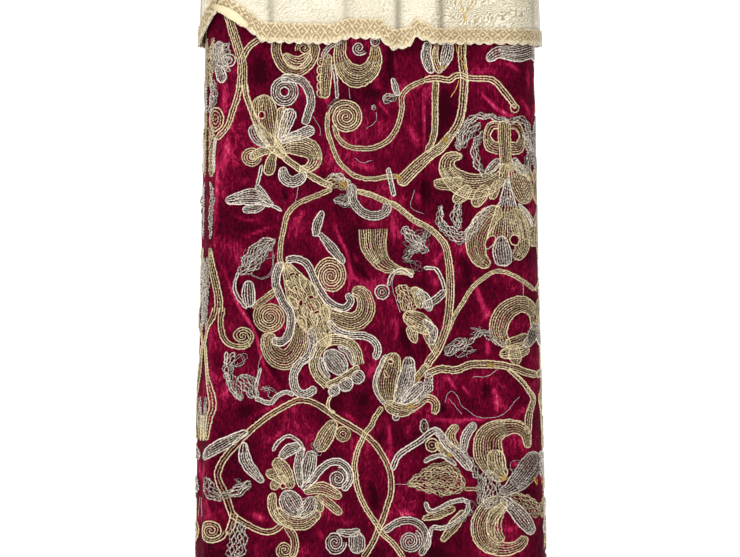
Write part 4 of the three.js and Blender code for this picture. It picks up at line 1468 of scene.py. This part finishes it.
start_shade = START_DARK * smooth(1 - corner_u / START_REACH)
roll_shade = ROLL_DARK * smooth(1 - corner_v / ROLL_REACH)
turned_corner = sheet_object("cape_turned_corner", standing_out(corner_walk, corner_out, corner_drop),
                             CORNER_THICKNESS, np.stack([corner_walk, corner_drop], -1),
                             start_shade + roll_shade)

# %% [markdown]
# ## The brocade's finish
# The ground is ivory silk; fine grey and gold lines of the figure come and go in patches. Lines are waves
# on the cloth's own map, bent by noise and shown only where a slow noise is high, so no motif repeats. The
# stiff top keeps its solid from the frame, and as that has no flat map its covering reads Object
# coordinates.

# %% Ivory brocade
IVORY, IVORY_SHADE = (0.78, 0.725, 0.59), (0.71, 0.65, 0.50)
FIGURE_GREY, FIGURE_GILT = (0.20, 0.18, 0.12), (0.40, 0.31, 0.15)
BACK_LIGHT, BACK_SHADE, BACK_LINE = (0.82, 0.73, 0.48), (0.66, 0.53, 0.31), (0.46, 0.36, 0.18)
FOLD_SHADE = (0.17, 0.14, 0.09)
# where the more figured panel begins, and how faint the figure is before it and between its stipples
RIGHT_PANEL = (0.060, 0.070)
FAINT = 0.45
# how strongly the curls, the weave and the folds' shade show
CURLS_SHOW, WEAVE_SHOWS, FOLDS_SHOW = 0.95, 0.5, 0.75
SILK_ROUGH, FIGURE_SMOOTH = 0.6, 0.15
WEAVE_HIGH, FIGURE_HIGH = 0.5, 0.4


def brocade_finish(name, ground, shade, line, gilt, figured, flat=True):
    """Bands and rings bent by noise, each shown where its own slow noise is high, on a two-toned ground."""
    finish = Finish(name, Sheen_Weight=0.08)
    cloth = finish.flat_map() if flat else finish.object_place()
    bent = finish.pushed(cloth, scale=38.0, amount=0.03)
    bands = {"Vector": bent, "Scale": 160.0}
    rings = {"Vector": bent, "Scale": 130.0, "Distortion": 3.0}
    first = finish.node("ShaderNodeTexWave", {"bands_direction": "DIAGONAL"}, bands)
    second = finish.node("ShaderNodeTexWave", {"wave_type": "RINGS"}, rings)
    panel = finish.axis(cloth, 0).between(*RIGHT_PANEL) * (1 - FAINT) + FAINT if flat else 1.0
    crosswise = finish.scaled(cloth, across=1.0, down=1.0, turn=40.0)
    where_first = finish.noise(cloth, scale=34.0).between(0.3, 0.56) * panel
    where_second = finish.noise(crosswise, scale=27.0).between(0.32, 0.56) * panel
    weave = finish.noise(finish.scaled(cloth, across=900.0, down=420.0), scale=1.0, detail=2.0)
    soft = finish.noise(cloth, scale=22.0)
    dotted = finish.scaled(cloth, across=560.0, down=330.0, turn=30.0)
    stipple = finish.noise(dotted, scale=1.0, detail=2.0).between(0.36, 0.6)
    broken = FAINT + stipple * (1 - FAINT)
    hatching = first.between(0.5, 0.9) * where_first * broken * figured
    curls = second.between(0.55, 0.95) * where_second * broken * figured
    base = finish.mix(soft.between(0.3, 0.7), ground, shade)
    lined = finish.mix(hatching, base, line)
    gilded = finish.mix(curls * CURLS_SHOW, lined, gilt)
    woven = finish.mix(weave.between(0.48, 0.75) * WEAVE_SHOWS * figured, gilded, line)
    finish.feed("Base Color", finish.mix(finish.tone() * FOLDS_SHOW, woven, FOLD_SHADE))
    finish.feed("Roughness", SILK_ROUGH - hatching * FIGURE_SMOOTH)
    height = weave * WEAVE_HIGH + hatching * FIGURE_HIGH + curls * FIGURE_HIGH
    finish.feed("Normal", finish.bump(height, distance=0.0006, strength=0.5))
    return finish.material


right_side = (IVORY, IVORY_SHADE, FIGURE_GREY, FIGURE_GILT)
wrong_side = (BACK_LIGHT, BACK_SHADE, BACK_LINE, BACK_LINE)
cape.data.materials.append(brocade_finish("ivory_brocade", *right_side, figured=1.0))
turned_corner.data.materials.append(brocade_finish("brocade_back", *wrong_side, figured=0.25))
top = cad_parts["top"]
top.data.materials.clear()
top.data.materials.append(brocade_finish("covered_top", *right_side, figured=0.9, flat=False))
print("cape and top finished")

# %% [markdown]
# ## The braid
# A woven galloon edges the cape: a lattice of lozenges between two firm borders, with small scallops
# below. The lozenges are real relief on a fine grid, because they catch the light, and a like formula on
# the flat map, with some sway, drives their colour.

# %% The galloon's strip
GALLOON_THICKNESS = 1.0
GALLOON_GAP = 0.5
GALLOON_BELOW_HEM = 2.0
# place along the rim, how far the braid reaches above the hem
GALLOON_ABOVE_HEM = np.array([(40, 17.0), (70, 12.5), (420, 12.5), (470, 17.0)])
LOZENGE = 9.0
SCALLOP = 9.5
SCALLOP_DEPTH = 2.2
SCALLOPS_FROM = 0.7
RELIEF = 0.5
RELIEF_REST = 0.6
BRAID_STEP = 1.0
BRAID_ROWS = 17
# shares of the braid's width: the lattice's repeat, the relief's field, the borders
FIELD_FROM, FIELD_TO = 0.12, 0.76
RELIEF_FROM, RELIEF_TO = 0.08, 0.8
UPPER_BORDER, LOWER_BORDER = 0.1, 0.78
UPPER_SOFT, SOFT = 0.04, 0.05
RIB_HALF = 0.12
BORDER_HIGH = 0.8


def lozenge_relief(walk, share):
    """Crossing ribs: high near either set of slanting lines, between the two borders."""
    rise = (share - FIELD_FROM) / (FIELD_TO - FIELD_FROM)
    slant = np.abs(np.mod(np.stack([walk / LOZENGE + rise, walk / LOZENGE - rise]), 1.0) - 0.5)
    ribs = np.exp(-((np.min(slant, axis=0) / RIB_HALF) ** 2))
    field = smooth((share - RELIEF_FROM) / SOFT) * smooth((RELIEF_TO - share) / SOFT)
    borders = smooth((UPPER_BORDER - share) / UPPER_SOFT) + smooth((share - LOWER_BORDER) / SOFT)
    return ribs * field + borders * BORDER_HIGH


braid_walk, braid_share = np.meshgrid(
    round_the_rim(BRAID_STEP), np.linspace(0, 1, BRAID_ROWS), indexing="ij")
scallops = SCALLOP_DEPTH * np.abs(np.sin(math.pi * braid_walk / SCALLOP))
scallops = scallops * smooth((braid_share - SCALLOPS_FROM) / (1 - SCALLOPS_FROM))
braid_above = np.interp(braid_walk, GALLOON_ABOVE_HEM[:, 0], GALLOON_ABOVE_HEM[:, 1])
braid_drop = cape_hem(braid_walk) - braid_above + scallops - SCALLOP_DEPTH / 2
braid_drop = braid_drop + (braid_above + GALLOON_BELOW_HEM) * braid_share
braid_out = cape_out(braid_walk, braid_drop) + GALLOON_GAP + GALLOON_THICKNESS
braid_out = braid_out + RELIEF * (lozenge_relief(braid_walk, braid_share) - RELIEF_REST)
galloon = sheet_object("cape_braid", standing_out(braid_walk, braid_out, braid_drop), GALLOON_THICKNESS,
                       np.stack([braid_walk, braid_share / MM], -1))
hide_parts("cape_galloon")

# %% [markdown]
# The braid's ribs are gilt thread over a darker ground, rubbed and frayed by handling. A picture of a braid
# would be quick to lay on, but the same lozenges written on the flat map stay in step with the relief, and
# a noise that sways them keeps the repeat from looking printed.

# %% Woven gold braid
# darker and lighter of each pair
GROUND_THREADS = (0.36, 0.26, 0.13), (0.54, 0.42, 0.24)
RIB_THREADS = (0.66, 0.54, 0.32), (0.86, 0.75, 0.52)
SCALLOP_THREAD = (0.72, 0.65, 0.48)
# the dark of the fraying, used too for the painted shade in the furrows
WORN_AND_SHADED_THREAD = (0.20, 0.13, 0.055)
# how far noise moves the lozenges along and across
SWAY, PULL = 0.5, 0.4
LIGHT_BORDER, SCALLOP_EDGE = 0.77, 0.86
RIB_REST, RIB_WEAVE = 0.35, 1.1
# how dark the fraying is, the furrows' painted shade at rest and with the sway, how much darker the
# right-hand panel is
FRAY_DARK, FURROW_REST, FURROW_SWAY, PANEL_DARK = 0.55, 0.25, 0.7, 0.12
BRAID_ROUGH, WEAVE_ROUGH = 0.5, 0.3


def braid_finish():
    """The strip's lozenges swayed by noise: light on the ribs, painted shade in the furrows, dark where it
    frays.
    """
    finish = Finish("gold_braid", Metallic=0.15)
    cloth = finish.flat_map()
    sway = finish.noise(finish.scaled(cloth, across=150.0, down=3.0), scale=1.0)
    pull = finish.noise(finish.scaled(cloth, across=110.0, down=2.0, turn=25.0), scale=1.0)
    walk = finish.axis(cloth, 0) / (LOZENGE * MM) + (sway - MEAN) * SWAY
    share = finish.axis(cloth, 1)
    rise = (share - FIELD_FROM) / (FIELD_TO - FIELD_FROM) + (pull - MEAN) * PULL
    first = abs((walk + rise).fraction() - 0.5)
    second = abs((walk - rise).fraction() - 0.5)
    inside = first.least(second)
    ribs = (1 - inside.between(0.03, 0.14)).most(inside.between(0.3, 0.4))
    furrow = inside.between(0.1, 0.18) * (1 - inside.between(0.22, 0.32))
    border = (UPPER_BORDER - share).between(0.0, 0.03) + (share - LIGHT_BORDER).between(0.0, 0.05)
    weave = finish.noise(finish.scaled(cloth, across=700.0, down=16.0), scale=1.0, detail=2.0)
    soft = finish.noise(finish.scaled(cloth, across=30.0, down=1.0), scale=1.0)
    ground = finish.mix(soft, *GROUND_THREADS)
    light = finish.mix(soft, *RIB_THREADS)
    fray = finish.noise(finish.scaled(cloth, across=420.0, down=9.0), scale=1.0, detail=3.0, roughness=0.7)
    woven = finish.mix(ribs.most(border) * (RIB_REST + weave * RIB_WEAVE), ground, light)
    edged = finish.mix((share - SCALLOP_EDGE).between(0.0, 0.06), woven, SCALLOP_THREAD)
    panel = finish.axis(cloth, 0).between(*RIGHT_PANEL)
    field = (share - UPPER_BORDER).between(0.0, 0.04) * (LOWER_BORDER - share).between(0.0, 0.04)
    frayed_threads = fray.between(0.44, 0.6) * FRAY_DARK
    furrow_shade = furrow * field * (FURROW_REST + sway * FURROW_SWAY)
    # worn gathers the fraying, the furrows' painted shade and a darker right-hand panel
    worn = frayed_threads.most(furrow_shade) + panel * PANEL_DARK
    finish.feed("Base Color", finish.mix(worn, edged, WORN_AND_SHADED_THREAD))
    finish.feed("Roughness", BRAID_ROUGH + (weave - MEAN) * WEAVE_ROUGH)
    finish.feed("Normal", finish.bump(weave, distance=0.0005, strength=0.5))
    return finish.material


galloon.data.materials.append(braid_finish())
print("braid finished")

# %% [markdown]
# ## The sheets
# The cloth's sheets are the two velvet widths, the cape, its turned corner and the braid, all built above.

# %% Sheets
print("sheets: velvet widths, cape, turned corner, braid")

# %% [markdown]
# ## Camera and light
# The photograph looks straight at the front from far away and takes in about 0.74 m across, so the
# lens is long and the camera level with the middle of that stretch. Large soft lamps from above keep the
# pile dark and the threads bright.

# %% The stage
IMAGE_WIDTH, IMAGE_HEIGHT = 740, 557
FRAME_ACROSS = IMAGE_WIDTH * MM
VIEW_DISTANCE = 6.0
CLOTH_STANDS_OUT = 0.008
FRONT_FACE = -TOP_HALF_DEPTH * MM - CLOTH_STANDS_OUT
VIEW_CENTRE_DROP = (IMAGE_HEIGHT / 2 - CHART_TOP) * MM

lens = bpy.data.cameras.new("camera")
lens.sensor_width = 36.0
lens.lens = lens.sensor_width * VIEW_DISTANCE / FRAME_ACROSS
camera = bpy.data.objects.new("camera", lens)
camera.location = (0.0, FRONT_FACE - VIEW_DISTANCE, -VIEW_CENTRE_DROP)
camera.rotation_euler = (math.pi / 2, 0.0, 0.0)
bpy.context.scene.collection.objects.link(camera)
bpy.context.scene.camera = camera


def soft_lamp(name, place, aim, size, power, tint):
    """A round area lamp at a place, turned up or down and then about the upright axis to face its aim."""
    lamp = bpy.data.lights.new(name, "AREA")
    lamp.shape = "DISK"
    lamp.size = size
    lamp.energy = power
    lamp.color = tint
    stand = bpy.data.objects.new(name, lamp)
    stand.location = place
    way = np.array(aim, float) - np.array(place, float)
    flat = math.hypot(way[0], way[1])
    stand.rotation_euler = (math.pi / 2 + math.atan2(way[2], flat), 0.0, math.atan2(-way[0], way[1]))
    bpy.context.scene.collection.objects.link(stand)


# name, place, aim, size, power, tint
LAMPS = [
    ("key", (-1.1, -1.7, 0.9), (0, -0.1, -0.45), 1.1, 33.0, (1.0, 0.985, 0.96)),
    ("fill", (1.6, -2.2, 0.1), (0, -0.1, -0.5), 1.6, 14.0, (1.0, 0.99, 0.98)),
    ("back", (0.4, 2.0, 1.2), (0, 0.1, -0.4), 1.6, 26.0, (1.0, 1.0, 1.0)),
]
for lamp in LAMPS:
    soft_lamp(*lamp)

WHITE = (1.0, 1.0, 1.0, 1.0)
SKY_STRENGTH = 0.4
world = bpy.data.worlds.new("studio")
world.use_nodes = True
sky = world.node_tree.nodes["Background"].inputs
sky["Color"].default_value = WHITE
sky["Strength"].default_value = SKY_STRENGTH
bpy.context.scene.world = world
bpy.context.scene.view_settings.view_transform = "Standard"

print("camera lens", round(lens.lens), "mm,", len(LAMPS), "lamps")

# %% [markdown]
# A plain plane would show its far edge in the other views, so the floor runs back, bends up in a quarter
# circle and goes on as a wall. A little light of its own keeps it as pale as the photograph's ground.

# %% The floor
FLOOR_HALF_WIDTH = 14.0
FLOOR_NEAR, FLOOR_FLAT, FLOOR_BEND, FLOOR_WALL = -12.0, 22.0, 2.0, 8.0
FLOOR_BELOW_HEM = 8.0
FLOOR_COLUMNS, FLOOR_ROWS = 3, 60
# shares of the rows where the flat and the bend end
FLAT_TO, BEND_TO = 0.6, 0.85
FLOOR_PALE = (0.93, 0.93, 0.93, 1.0)

floor_drop = (SKIRT_DROP + FLOOR_BELOW_HEM) * MM
floor_x, floor_t = np.meshgrid(np.linspace(-FLOOR_HALF_WIDTH, FLOOR_HALF_WIDTH, FLOOR_COLUMNS),
                               np.linspace(0, 1, FLOOR_ROWS), indexing="ij")
floor_turn = np.clip((floor_t - FLAT_TO) / (BEND_TO - FLAT_TO), 0, 1) * math.pi / 2
floor_y = FLOOR_NEAR + np.minimum(floor_t, FLAT_TO) / FLAT_TO * FLOOR_FLAT + FLOOR_BEND * np.sin(floor_turn)
floor_wall = np.maximum(floor_t - BEND_TO, 0) / (1 - BEND_TO) * FLOOR_WALL
floor_z = FLOOR_BEND * (1 - np.cos(floor_turn)) + floor_wall - floor_drop
floor_points = np.stack([floor_x, floor_y, floor_z], -1).reshape(-1, 3) / MM
floor_quads = grid_quads(FLOOR_COLUMNS, FLOOR_ROWS, 0, True)
floor_map = floor_points[floor_quads.ravel(), :2] * MM
floor = mesh_object("floor", floor_points, [floor_quads], {"cloth": floor_map})
pale = Finish("pale_floor", Roughness=0.9, Emission_Strength=0.6)
pale.shader.inputs["Base Color"].default_value = FLOOR_PALE
pale.shader.inputs["Emission Color"].default_value = WHITE
floor.data.materials.append(pale.material)
print("floor", len(floor_quads), "faces")
